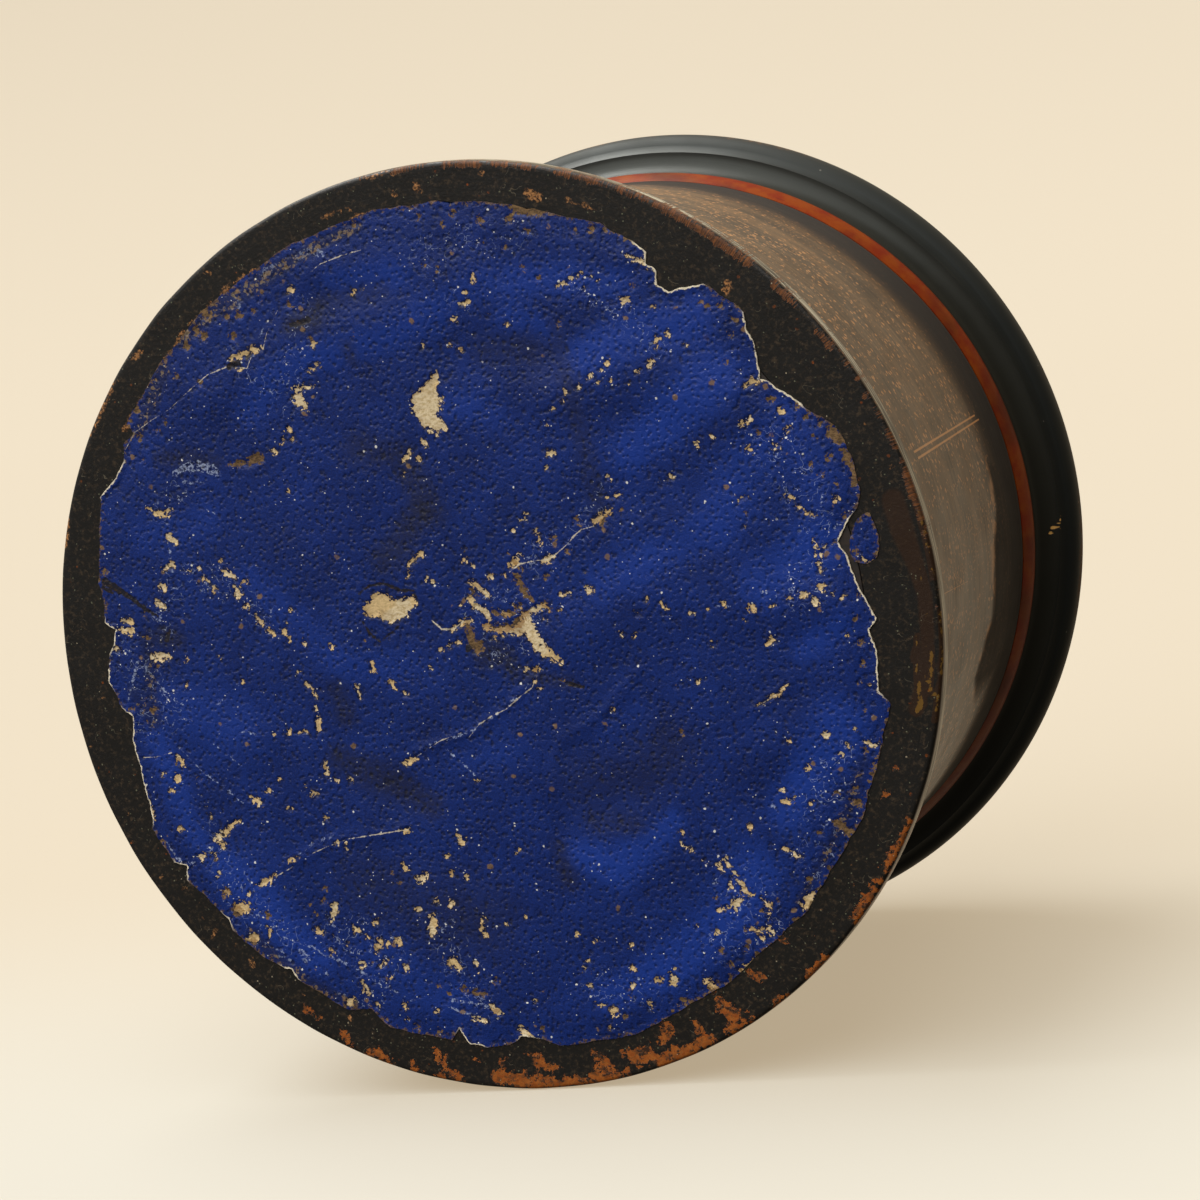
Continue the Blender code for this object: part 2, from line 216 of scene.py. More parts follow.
# Browned chips and stains, as strokes and as single dots
BROWN_CHIP_SHARES = (
    (96, -126, 5, 102, -102, 10, 112, -80, 9, 124, -66, 6), (34, -48, 5, 58, -38, 7, 80, -46, 6, 100, -58, 5),
    (16, -20, 9, 38, -9, 11, 65, -11, 9, 94, -22, 12, 106, -38, 8), (-28, -32, 8, -27, -8, 9, -22, 10, 9),
    (-29, 7, 12, -13, 25, 15), (246, -225, 8, 258, -216, 6), (147, -56, 7, 161, -42, 5),
    (-9, -97, 6, 5, -83, 6), (95, -150, 5, 108, -132, 5), (302, -212, 6, 318, -229, 5),
    (-504, -418, 8, -478, -418, 10, -456, -424, 14), (206, -880, 14, 240, -876, 16, 268, -868, 10),
    (400, -822, 8, 430, -800, 5, 462, -776, 9), (480, -750, 4, 478, -760, 4),
    (820, -352, 14, 836, -332, 13), (840, -308, 10, 848, -276, 8, 856, -240, 8),
    (726, 454, 9, 738, 466, 8, 750, 482, 10), (874, -180, 6, 889, -172, 7, 897, -152, 7, 900, -128, 7),
    (840, -98, 5, 832, -116, 5), (338, 818, 8, 356, 824, 6), (586, 686, 8), (420, 784, 7), (520, 728, 8),
)
BROWN_DOT_SHARES = {
    4: (
        87, -168, 168, 110, -188, -668, 612, -566, 818, -246, 536, 632, 442, 600, -496, 560, -404, 262, -286,
        500, 616, -204, 258, -314, 416, 146,
    ),
    5: (
        206, 128, -272, -12, -12, -790, 210, -757, 126, -816, 594, -634, 616, -516, 780, -344, 820, 34, 808,
        168, 816, 222, 576, 614, -620, -622, -660, -525, -732, -450, -820, 126, -482, 580, -270, 520, -190,
        775, -215, 756, 222, 802, 350, -236,
    ),
    6: (
        20, -776, 45, -868, 172, -805, 438, -690, 634, -570, 768, -387, 824, -176, 836, -14, 762, 412, 732,
        391, 650, 572, -672, -620, -398, -762, -786, -110, -852, 96, -712, 264, -450, 526, -148, 508, -350,
        826, 12, 864, 206, 846, 166, 872,
    ),
    7: (
        219, -162, 164, -112, 192, -194, -524, -421, -8, -890, 228, -832, 664, -624, 810, -301, 666, -365,
        768, -290, 785, -268, 824, 126, 862, 246, 802, 311, 772, 386, 686, 476, 698, 554, 596, 670, 576, 690,
        496, 710, 456, 744, 310, 846, -566, -600, -686, -512, -760, -474, -418, -738, -884, -196, -110, 780,
        -230, 858, 416, 241,
    ),
    8: (
        108, 86, 235, -733, 70, -886, 330, -822, 368, -818, 622, -630, 700, -428, 798, -372, 616, 656, 476,
        756, 335, 826, -332, -744, -786, -60, -775, 6, -760, 220, -830, 398, -790, 506, -706, 442, -456, 554,
        -78, 754, -90, 820, 270, -638,
    ),
    9: (
        -292, -666, -155, -892, 128, -868, 644, -600, 754, -414, 846, 298, 436, 712, 450, 775, 402, 794,
        -728, -560, -755, -536, -482, -735, -540, -700, -866, -216, -800, 102, -596, 578, -156, 770, -130,
        777, -280, 846,
    ),
    10: (
        192, -862, 826, 84, 822, 340, 816, 366, 778, 420, -730, -500, -472, -690, -450, -735, -586, -682,
        -644, 636,
    ),
    11: (-690, 520),
    12: (-556, -712),
    16: (-530, -748, -670, 564),
}

# White scuffs, where the glaze is scratched but the blue isn't gone, as strokes
SCUFF_SHARES = (
    (-660, -412, 8, -634, -424, 10, -604, -424, 14, -574, -414, 14, -556, -404, 10),
    (-645, -392, 5, -600, -386, 5), (-660, -362, 3, -640, -352, 3), (-600, -330, 3, -570, -310, 3),
    (-700, -268, 4, -700, -198, 4), (-818, -10, 5, -836, 30, 5, -858, 78, 4),
    (-802, 4, 5, -772, 50, 4, -742, 86, 4, -704, 104, 3), (-640, 100, 4, -575, 56, 3),
    (-750, 190, 3, -700, 250, 3, -640, 300, 3, -606, 336, 3), (-664, 186, 3, -640, 212, 3, -604, 240, 3),
    (-600, 166, 3, -540, 174, 3), (-760, -110, 7, -748, -92, 5),
    (-566, 630, 4, -530, 646, 4, -500, 656, 4, -474, 676, 4, -440, 690, 5, -410, 706, 5, -388, 720, 5, -368,
     736, 4),
    (-368, 736, 3, -338, 756, 4, -300, 774, 3, -276, 790, 3), (-528, 664, 8, -520, 682, 11),
    (-586, 672, 4, -560, 684, 6), (-624, 580, 7, -612, 570, 5), (-500, 720, 3, -470, 716, 4),
    (-470, 758, 3, -440, 768, 3), (-776, 376, 7), (-818, 400, 4, -800, 436, 4, -782, 452, 4, -750, 450, 4),
    (-198, 806, 4, -168, 820, 5, -130, 832, 5, -108, 842, 3), (-162, 794, 4, -122, 804, 5, -98, 814, 3),
    (-190, 790, 6, -150, 798, 3),
    (100, 106, 3, 70, 134, 3, 30, 160, 3, -2, 178, 4, -30, 190, 3, -52, 204, 3, -100, 215, 3, -150, 225, 3,
     -190, 238, 3),
    (440, 566, 6, 452, 558, 5), (480, 600, 6, 492, 624, 6), (690, 498, 3, 712, 532, 3), (664, 486, 4),
    (592, 408, 4, 602, 428, 3), (310, -700, 3, 360, -702, 3, 404, -700, 3), (520, -20, 3, 560, -14, 3),
    (784, -232, 3, 778, -172, 3), (790, -150, 4, 812, -160, 4), (628, -40, 3, 662, -28, 3),
    (700, -250, 3, 712, -170, 3), (-410, 410, 3, -460, 424, 3, -486, 440, 3, -530, 460, 3),
    (-236, -840, 8, -262, -852, 10, -292, -842, 10), (-452, -762, 10, -446, -744, 6),
    (-382, -816, 10, -352, -826, 10), (-600, -700, 4, -588, -678, 3),
    (-370, -740, 3, -386, -714, 3, -408, -684, 3), (-116, 240, 3, -60, 300, 3), (100, 730, 4),
    (246, 764, 5),
)

# Dark cracks round lifted paper, as strokes
CRACK_SHARES = (
    (-268, -112, 3, -240, -128, 3, -204, -128, 4, -172, -112, 4, -140, -108, 3, -136, -84, 3),
    (-268, -50, 3, -256, -24, 4, -234, -4, 3, -206, -22, 3, -188, -36, 3), (-492, -628, 6, -470, -634, 8),
    (-446, -642, 5, -436, -648, 4),
    (-870, -192, 10, -846, -176, 9, -812, -152, 6, -782, -124, 6, -752, -104, 3),
    (-878, -180, 5, -856, -166, 5), (130, 32, 3), (-34, 26, 9), (-676, 392, 5), (182, 120, 5, 212, 130, 5),
    (-332, -700, 6, -290, -706, 8), (-740, -50, 6, -728, -72, 4),
)


@dataclass(frozen=True)
class Patch:
    """A soft patch of paint, light or relief: how strong it is in its middle, and where it lies."""

    strength: float
    dabs: Stroke


# Where the blue is rubbed dark, as soft patches
RUBBED_PATCH_SHARES = (
    Patch(0.9, (10, 40, 55, 50, 55, 40)),
    Patch(0.7, (-110, -270, 50, -160, -210, 60, -200, -180, 50)),
    Patch(0.6, (-70, -270, 50, -130, -400, 60, -220, -420, 60)),
    Patch(0.8, (-370, 240, 50, -300, 280, 70, -240, 310, 60, -170, 360, 50)),
    Patch(0.6, (-350, 90, 40, -340, 150, 40)),
    Patch(0.9, (-330, -700, 40, -280, -700, 40, -270, -730, 30)),
    Patch(0.6, (-210, -640, 30, -205, -610, 22)),
    Patch(0.6, (180, 115, 30, 60, 90, 30)),
    Patch(0.8, (-750, -60, 40, -720, -50, 40)),
    Patch(0.6, (-690, -450, 30, -620, -440, 40, -560, -425, 30)),
    Patch(0.6, (120, 540, 40, 110, 470, 30)),
    Patch(0.5, (200, 420, 50, 280, 430, 40)),
    Patch(0.5, (300, -250, 40, 260, -640, 30)),
    Patch(0.5, (100, -600, 60, 200, -590, 60)),
    Patch(0.5, (-240, -745, 40, -120, -750, 40)),
    Patch(0.45, (380, 280, 120, 300, 330, 100, 180, 330, 100)),
    Patch(0.45, (-100, 620, 160, -350, 520, 120)),
)

# Where the glaze is shattered into fine chips and hairlines
DISTRESS_PATCH_SHARES = (
    Patch(1.0, (-850, -20, 60, -790, 40, 80, -760, 110, 70, -820, 130, 60)),
    Patch(0.8, (-740, -80, 60, -700, -180, 60, -600, -180, 60, -480, -60, 50)),
    Patch(1.0, (40, 20, 90, 100, -40, 90, 0, -60, 70)),
    Patch(0.7, (150, -150, 70, 260, -210, 50, 330, -290, 40)),
    Patch(0.9, (-700, 400, 70, -650, 560, 80, -560, 640, 70)),
    Patch(0.9, (-420, 620, 90, -330, 680, 90, -380, 770, 60)),
    Patch(0.8, (-190, 620, 60, -150, 740, 80, -120, 820, 50)),
    Patch(0.7, (160, 780, 80, 260, 800, 60)),
    Patch(1.0, (500, 580, 90, 560, 660, 60, 440, 700, 60)),
    Patch(0.8, (680, 420, 80, 740, 320, 80, 650, 560, 50)),
    Patch(0.8, (700, -330, 90, 780, -180, 70, 720, -30, 80)),
    Patch(0.7, (-470, -640, 60, -360, -540, 60, -300, -740, 60)),
    Patch(0.6, (400, -640, 70, 320, -720, 50, 480, -560, 50)),
    Patch(0.6, (200, -830, 70, -20, -830, 60, 60, -700, 50)),
    Patch(0.6, (-620, -410, 60, -700, -330, 60)),
)

# Where the edge of the paper is stained and rubbed down to a sandy ground
STAIN_PATCH_SHARES = (
    Patch(1.1, (
        -601, -700, 36, -551, -733, 34, -497, -753, 36, -441, -774, 34, -386, -802, 30, -345, -820, 28, -304,
        -838, 26, -250, -858, 24, -197, -874, 20, -145, -886, 16,
    )),
    Patch(0.9, (-650, -640, 34, -690, -570, 34, -730, -510, 28)),
    Patch(0.7, (-840, 60, 40, -800, 130, 36, -790, -60, 36)),
    Patch(0.8, (-640, 620, 34, -580, 690, 34, -520, 740, 30, -420, 790, 24)),
    Patch(0.7, (800, 330, 26, 760, 420, 26, 700, 510, 24, 620, 620, 22)),
)

# Where the blue is lighter
BRIGHT_PATCH_SHARES = (
    Patch(0.55, (
        -460, -520, 60, -400, -600, 60, -300, -630, 60, -150, -640, 60, 0, -690, 65, 100, -735, 60, 250,
        -730, 60, 400, -700, 60,
    )),
    Patch(0.6, (-220, -780, 55, -80, -775, 50)),
    Patch(0.5, (160, -660, 50, 250, -625, 45)),
    Patch(0.8, (300, -560, 60, 440, -600, 85, 560, -610, 80)),
    Patch(0.8, (600, -500, 90, 500, -420, 80, 390, -355, 75)),
    Patch(0.45, (0, -500, 50, 100, -450, 60)),
    Patch(0.55, (620, -300, 100, 560, -180, 80, 420, -140, 70, 280, -80, 70)),
    Patch(0.8, (760, -120, 90, 640, -50, 80)),
    Patch(0.35, (720, -380, 90, 760, -250, 90)),
    Patch(0.5, (790, 50, 50, 700, 90, 40)),
    Patch(0.7, (760, 250, 90, 690, 330, 80, 620, 430, 70)),
    Patch(0.7, (540, 540, 80, 480, 640, 80, 330, 740, 80, 180, 800, 60)),
    Patch(0.8, (150, 490, 50, 230, 520, 70, 320, 480, 60, 370, 430, 40)),
    Patch(0.8, (-690, 460, 70, -620, 540, 80, -550, 620, 80, -490, 680, 60)),
    Patch(0.7, (-800, 170, 50, -770, 300, 55, -740, 400, 50)),
    Patch(0.45, (-720, 120, 120, -600, 160, 130)),
    Patch(0.35, (-520, -180, 50, -420, -60, 60, -330, 40, 60, -190, 50, 60)),
    Patch(0.3, (-80, 270, 60, 50, 260, 60)),
    Patch(0.4, (-620, -300, 80, -760, -280, 80)),
    Patch(0.35, (-350, 690, 100, -180, 800, 80)),
)

# Folds in the paper: height in millimetres, positive where the paper lifts towards the eye
FOLD_PATCH_SHARES = (
    Patch(0.16, (-560, -560, 70, -380, -640, 90, -150, -690, 90, 60, -760, 90)),
    Patch(-0.1, (-260, -740, 70, -60, -740, 60)),
    Patch(0.1, (-260, -800, 60, -60, -810, 60)),
    Patch(-0.14, (20, -600, 80, 240, -580, 90)),
    Patch(0.16, (220, -480, 80, 420, -520, 110, 620, -420, 110)),
    Patch(-0.1, (300, -260, 80, 520, -280, 90)),
    Patch(0.14, (180, 30, 80, 400, -60, 110, 640, -10, 100, 800, 0, 70)),
    Patch(0.09, (340, 105, 20, 270, 170, 20, 220, 205, 20, 150, 236, 20, 130, 270, 18, 112, 340, 16)),
    Patch(0.07, (100, 106, 16, 30, 160, 18, -50, 204, 18, -190, 238, 16)),
    Patch(0.05, (150, 500, 60, 240, 540, 70, 340, 460, 60)),
    Patch(-0.1, (140, 400, 80, 320, 360, 80)),
    Patch(0.1, (-600, 480, 100, -520, 620, 80)),
    Patch(0.08, (-540, 470, 26, -400, 420, 26, -240, 408, 22)),
    Patch(-0.1, (-340, 300, 90, -200, 350, 70)),
    Patch(0.1, (-740, 100, 80, -580, 200, 90)),
    Patch(-0.1, (-120, -380, 80, -150, -220, 70)),
    Patch(0.1, (-420, -200, 90, -340, 20, 90)),
    Patch(0.1, (580, 300, 80, 700, 260, 80)),
    Patch(0.06, (560, 215, 18, 610, 188, 20, 670, 150, 18)),
    Patch(0.1, (420, -756, 30, 500, -720, 30)),
    Patch(0.1, (640, -460, 30, 700, -468, 30)),
)

# Wear on the foot, as strokes by azimuth, radius share and size share: paint gone to orange wood
ORANGE_WEAR_SHARES = (
    (-86, 992, 9, -82, 988, 10), (-80, 994, 6, -76, 992, 6), (-72, 992, 8, -67, 990, 9),
    (-64, 994, 6, -60, 994, 6), (-58, 990, 12, -54, 986, 14, -50, 984, 16, -46, 986, 14),
    (-54, 972, 6, -54, 962, 3), (-50, 970, 6), (-47, 972, 6), (-42, 988, 10, -39, 986, 10),
    (-34, 984, 12, -32, 982, 12), (-30.5, 976, 8), (-27, 996, 9), (-25, 982, 8, -24.5, 974, 4),
    (28, 995, 6, 34, 991, 8, 38, 989, 10, 42, 992, 8), (26, 926, 6), (22, 930, 4, 22, 924, 4),
    (48, 995, 5, 52, 995, 6), (50.3, 932, 5, 50.3, 910, 5), (55, 994, 7, 57, 992, 7),
    (56.4, 930, 7, 56.8, 914, 8), (60, 992, 8, 64, 990, 10),
    (62.2, 966, 12, 62.8, 940, 13, 63, 916, 10, 63.2, 900, 6), (67.5, 984, 14, 71, 988, 18, 74, 986, 18),
    (67.4, 958, 8, 67.6, 922, 4), (71.5, 936, 11, 73.2, 942, 12, 72, 918, 8),
    (74.5, 978, 18, 76.5, 962, 20, 78, 946, 14), (79, 990, 10, 81, 972, 14, 82, 948, 12, 82.4, 934, 6),
    (80, 990, 14, 84, 990, 14, 88, 988, 14, 92, 984, 18), (88.6, 952, 8, 90.6, 942, 14, 91.2, 926, 10),
    (93.5, 980, 16, 96.5, 978, 12, 98, 970, 6), (95.8, 940, 7), (99.5, 942, 7, 99.8, 932, 5),
    (101.5, 990, 10, 103, 978, 10, 104, 958, 8, 105, 934, 6), (104, 992, 8), (107.5, 988, 8, 108, 978, 6),
    (111, 990, 10, 114, 988, 10), (116.5, 988, 8, 118.2, 972, 9), (122.5, 966, 8, 124, 960, 4),
    (-8, 998, 6), (40.5, 884, 6),
)

# Paint worn thin and brown, in the same form
BROWN_WEAR_SHARES = (
    (-137, 984, 8, -135.5, 976, 5), (-121.6, 980, 4, -121.2, 966, 4), (-164, 996, 6, -160, 997, 5),
    (-75.5, 944, 10, -74, 932, 12), (-70, 942, 6, -66, 936, 4), (-90.2, 950, 12), (-93.5, 948, 8),
    (-81.5, 974, 7), (-46.4, 930, 7, -46, 916, 9), (-22, 962, 4), (-16, 972, 5), (125.2, 936, 5),
    (133.5, 950, 7, 134, 940, 5), (137, 942, 4), (140, 966, 6, 140.4, 952, 7), (143, 950, 6),
    (144.4, 934, 6), (147.2, 938, 7), (150.5, 972, 6), (160, 960, 5), (170, 985, 4), (118, 934, 6),
    (-104, 944, 6, -100, 942, 4), (-146, 926, 6, -130, 926, 4, -120, 926, 5, -98, 925, 4), (36, 925, 4),
    (44, 925, 5), (176, 920, 4), (-3, 886, 3), (-149, 996, 5, -141, 994, 5), (-97, 994, 5, -92, 992, 6),
)

# Varnish with a golden brown tint, as soft patches by azimuth, radius share and size share
GOLD_PATCH_SHARES = (
    Patch(1, (2, 998, 7, 6, 998, 8, 10, 997, 8, 15, 992, 10)),
    Patch(0.9, (-14, 996, 9, -8, 994, 10, -2, 996, 9)),
    Patch(0.5, (-12, 950, 40, -8, 950, 40, -4, 960, 30, 0, 970, 26, 5, 968, 24, 10, 965, 24, 14, 950, 26)),
    Patch(1.2, (5, 945, 6, 7.5, 940, 7, 10.4, 950, 8, 13.5, 960, 12, 14.6, 951, 8)),
    Patch(1.1, (6.7, 975, 7, 8.5, 977, 8, 10.7, 972, 8, 12, 982, 7)),
)

# Fine dust caught in the paint, in the same form
DUST_PATCH_SHARES = (
    Patch(1, (32, 950, 40, 38, 950, 45, 45, 945, 40)),
    Patch(0.7, (98, 945, 40, 110, 945, 40, 120, 945, 35)),
    Patch(0.5, (-86, 932, 14, -79, 932, 14)),
    Patch(0.4, (52, 945, 40, 60, 945, 40, 70, 930, 30)),
    Patch(0.3, (135, 950, 40, 160, 950, 40)),
)

# Marks on the wall: azimuth, height above the underside and half width, in millimetres
WALL_SCRATCHES = (
    (-15.96, 21.7, 0.13, -16.77, 48.9, 0.10), (-14.94, 22.2, 0.13, -15.95, 49.8, 0.10),
    (-9.0, 12.0, 0.05, -8.6, 17.0, 0.03), (4.0, 20.0, 0.05, 4.6, 31.0, 0.03),
)
WALL_CRACKS = (
    (-36, 45.4, 0.12, -30, 45.2, 0.22, -26.3, 46.1, 0.1), (-17.7, 47.6, 0.36),
)

# The lip where the lacquer ran thick: azimuth, and height in millimetres
LACQUER_LIP = (
    -13.5, 44.2, -10.4, 45.7, -6.6, 46.3, -2.7, 45.7, 1.9, 42.9, 7.8, 42.2, 12.9, 42.1, 14.9, 40.4, 20.9,
    38.4, 27, 42.9,
)

# Chips on the rim of the lid, in the form of the scratches
RIM_CHIPS = (
    (4.3, 62.48, 0.14, 4.1, 62.5, 0.1), (3.6, 62.58, 0.12, 3.4, 62.62, 0.14), (2.9, 62.74, 0.1),
    (2.5, 62.82, 0.13, 2.3, 62.84, 0.09), (3.7, 62.76, 0.07), (1.9, 62.9, 0.05),
    (-79.5, 66.6, 0.3, -78.2, 66.8, 0.2), (152, 66.7, 0.35, 153.2, 66.9, 0.2), (98, 66.3, 0.3),
    (-140, 66.6, 0.3), (60, 67, 0.25), (18, 66.9, 0.25),
)


def math_node(operation: str, flipped: bool = False) -> Callable[["Signal", "Number"], "Signal"]:
    """Makes a method that joins a signal and another number in a Math node.

    Args:
        operation: The Math node's operation.
        flipped: Whether the other number comes first.

    Returns:
        The method.
    """

    def joined(first: "Signal", second: "Number" = 0.0) -> "Signal":
        """Adds the Math node and gives its result."""
        inputs = {int(flipped): first, int(not flipped): second}
        node = first.graph.add("ShaderNodeMath", {"operation": operation}, inputs)
        return Signal(first.graph, node.outputs[0])

    return joined


class Signal:
    """A number that varies over a surface: the output of a shader node, with the usual arithmetic."""

    __add__ = math_node("ADD")
    __radd__ = math_node("ADD", flipped=True)
    __sub__ = math_node("SUBTRACT")
    __rsub__ = math_node("SUBTRACT", flipped=True)
    __mul__ = math_node("MULTIPLY")
    __rmul__ = math_node("MULTIPLY", flipped=True)
    __truediv__ = math_node("DIVIDE")
    __pow__ = math_node("POWER")
    __abs__ = math_node("ABSOLUTE")
    most = math_node("MAXIMUM")
    least = math_node("MINIMUM")

    def __init__(self, graph: "Graph", socket: bpy.types.NodeSocket) -> None:
        """Holds the graph that the socket belongs to, and the socket."""
        self.graph = graph
        self.socket = socket

    def swing(self, size: float) -> "Signal":
        """Turns noise from 0 to 1 into a swing round 0, this wide from end to end."""
        return (self - 0.5) * size

    def rise(self, low: "Number", high: "Number") -> "Signal":
        """A smooth step.

        Args:
            low: Where the step is still 0.
            high: Where it has reached 1. It may lie below low, and then the step falls.

        Returns:
            The step, from 0 to 1.
        """
        inputs = {"Value": self, "From Min": low, "From Max": high}
        node = self.graph.add("ShaderNodeMapRange", {"interpolation_type": "SMOOTHSTEP"}, inputs)
        return Signal(self.graph, node.outputs[0])


Number = Signal | float

# Squared length of the shortest stretch of a stroke, which keeps its share of the way finite
SHORTEST_IN_MILLIMETRES = 1e-9
SHORTEST_IN_METRES = 1e-18

# Spokes: a small radius that keeps them finite at the axis, and how often they change along the radius
AXIS_CLEARANCE = 0.0001
SPOKE_CHANGES_PER_METRE = 400.0


class Graph:
    """The shader nodes of a material or of the world."""

    def __init__(self, owner: bpy.types.Material | bpy.types.World) -> None:
        """Empties the owner's node tree."""
        owner.use_nodes = True
        self.owner = owner
        self.tree = owner.node_tree
        self.tree.nodes.clear()

    @cached_property
    def place(self) -> bpy.types.NodeSocket:
        """Object coordinates."""
        return self.add("ShaderNodeTexCoord").outputs["Object"]

    def add(self, kind: str, settings: dict | None = None, inputs: dict | None = None) -> bpy.types.Node:
        """Adds a node.

        Args:
            kind: The node's type.
            settings: Its properties, which are set first.
            inputs: The values or links of its sockets, by name or number.

        Returns:
            The node.
        """
        node = self.tree.nodes.new(kind)
        for name, value in (settings or {}).items():
            setattr(node, name, value)
        for key, value in (inputs or {}).items():
            socket = node.inputs[key]
            if isinstance(value, Signal):
                self.tree.links.new(value.socket, socket)
            elif isinstance(value, bpy.types.NodeSocket):
                self.tree.links.new(value, socket)
            else:
                socket.default_value = value
        return node

    def stretched(self, x: float, y: float, z: float) -> bpy.types.NodeSocket:
        """Object coordinates with each axis scaled, so that a pattern is drawn out along the smaller ones."""
        return self.add("ShaderNodeMapping", None, {"Vector": self.place, "Scale": (x, y, z)}).outputs[0]

    @cached_property
    def axes(self) -> tuple[Signal, Signal, Signal]:
        """Object coordinates, one by one."""
        split = self.add("ShaderNodeSeparateXYZ", None, {0: self.place})
        return tuple(Signal(self, socket) for socket in split.outputs)

    @cached_property
    def radius(self) -> Signal:
        """Distance from the axis."""
        x, y = self.axes[:2]
        return (x * x + y * y) ** 0.5

    def noise(
        self, scale: float, detail: float = 2, rough: float = 0.5, place: bpy.types.NodeSocket | None = None
    ) -> Signal:
        """Noise from 0 to 1.

        Args:
            scale: How many times it changes in a metre, or in a unit of the coordinates given.
            detail: Its octaves.
            rough: The weight of the finer octaves.
            place: Its coordinates, if they aren't the object's.

        Returns:
            The noise.
        """
        inputs = {"Scale": scale, "Detail": detail, "Roughness": rough}
        inputs["Vector"] = self.place if place is None else place
        return Signal(self, self.add("ShaderNodeTexNoise", None, inputs).outputs[0])

    def round_grain(self, across: float, along: float, detail: float = 2, rough: float = 0.5) -> Signal:
        """Noise drawn out round the axis, with no seam.

        Args:
            across: How many times it changes in a metre along the radius and the axis.
            along: The same for the slow change round the axis, as a share of that.
            detail: Its octaves.
            rough: The weight of the finer octaves.

        Returns:
            The noise.
        """
        x, y, z = self.axes
        level = (self.radius + z) * across
        place = self.add("ShaderNodeCombineXYZ", None, {0: x * along, 1: y * along, 2: level}).outputs[0]
        return self.noise(1.0, detail, rough, place)

    def spokes(self, count: float, detail: float, rough: float) -> Signal:
        """Noise drawn out along the radius.

        Args:
            count: How many times it changes in a radian.
            detail: Its octaves.
            rough: The weight of the finer octaves.

        Returns:
            The noise.
        """
        x, y = self.axes[:2]
        radius = self.radius + AXIS_CLEARANCE
        inputs = {0: x / radius * count, 1: y / radius * count, 2: radius * SPOKE_CHANGES_PER_METRE}
        return self.noise(1.0, detail, rough, self.add("ShaderNodeCombineXYZ", None, inputs).outputs[0])

    def cells(self, scale: float, feature: str = "F1") -> tuple[Signal, Signal]:
        """Random cells over the surface.

        Args:
            scale: How many cells there are in a metre.
            feature: Which distance the texture gives.

        Returns:
            The distance from the middle of a cell, in cells, and a random number for each cell.
        """
        node = self.add("ShaderNodeTexVoronoi", {"feature": feature}, {"Vector": self.place, "Scale": scale})
        split = self.add("ShaderNodeSeparateColor", None, {0: node.outputs["Color"]})
        return Signal(self, node.outputs["Distance"]), Signal(self, split.outputs[0])

    def flakes(self, scale: float) -> Signal:
        """A random number from -0.5 to 0.5 for each cell, which breaks an edge up into flakes."""
        return self.cells(scale)[1] - 0.5

    def specks(self, scale: float, size: float, share: Number) -> Signal:
        """Small specks.

        Args:
            scale: How many cells there are in a metre, each of which may hold a speck.
            size: A speck's radius, in cells.
            share: The share of the cells that hold one.

        Returns:
            The specks' mask.
        """
        distance, chance = self.cells(scale)
        frayed = distance + self.noise(scale * 2.5, 2, 0.6).swing(size) * 2.0
        return frayed.rise(size, 0.6 * size) * (chance + share).rise(0.99, 1.0)

    def hairlines(self, scale: float, width: float, share: float) -> Signal:
        """Short, curved hairline scratches.

        Args:
            scale: How many times their course changes in a metre.
            width: Their width, as a share of that change.
            share: The share of their length that shows.

        Returns:
            The hairlines' mask.
        """
        course = self.noise(scale) - 0.5
        shown = self.noise(scale * 1.7, 2, 0.6).rise(0.62 - share * 0.3, 0.68 - share * 0.3)
        return abs(course).rise(width, width * 0.4) * shown

    def strokes(self, chains_in_millimetres: Iterable[np.ndarray], across: Signal, along: Signal) -> Signal:
        """Crisp strokes, finer than a mesh.

        Args:
            chains_in_millimetres: Rows of two coordinates and a half width, joined in a chain.
            across: The first coordinate of each place, in millimetres.
            along: The second coordinate.

        Returns:
            How deep each place lies in the nearest stroke, in millimetres.
        """
        depth = None
        for chain in chains_in_millimetres:
            for start, end in zip(chain, chain[1:] if len(chain) > 1 else chain):
                step = end - start
                right, up = across - float(start[0]), along - float(start[1])
                reach = max(float(step[:2] @ step[:2]), SHORTEST_IN_MILLIMETRES)
                share = ((right * float(step[0]) + up * float(step[1])) / reach).most(0.0).least(1.0)
                right, up = right - share * float(step[0]), up - share * float(step[1])
                here = share * float(step[2]) + float(start[2]) - (right * right + up * up) ** 0.5
                depth = here if depth is None else depth.most(here)
        return depth

    def wall_strokes(self, marks: Iterable[Stroke], radius: float) -> Signal:
        """Strokes on a wall, by azimuth, height and half width, on a wall of this radius."""
        x, y, z = self.axes
        turn = self.add("ShaderNodeMath", {"operation": "ARCTAN2"}, {0: y, 1: x}).outputs[0]
        flat = [chain / MILLIMETRE for chain in unrolled(marks, radius)]
        return self.strokes(flat, Signal(self, turn) * (radius / MILLIMETRE), z / MILLIMETRE)

    def attribute(self, name: str) -> Signal:
        """A number stored on the mesh."""
        return Signal(self, self.add("ShaderNodeAttribute", {"attribute_name": name}).outputs["Fac"])

    def tint(self, share: Number, first: "Paint", second: "Paint") -> bpy.types.NodeSocket:
        """Mixes two colours.

        Args:
            share: How much of the second shows.
            first: The first colour.
            second: The second colour.

        Returns:
            The mixed colour.
        """
        paints = {0: share, 6: full(first), 7: full(second)}
        return self.add("ShaderNodeMix", {"data_type": "RGBA"}, paints).outputs[2]

    def coats(self, colour: "Paint", *coats: tuple["Number", "Paint"]) -> bpy.types.NodeSocket:
        """Lays colours over one another.

        Args:
            colour: The lowest colour.
            coats: How much of each next colour shows, and that colour, from the lowest up.

        Returns:
            The mixed colour.
        """
        for share, paint in coats:
            colour = self.tint(share, colour, paint)
        return colour

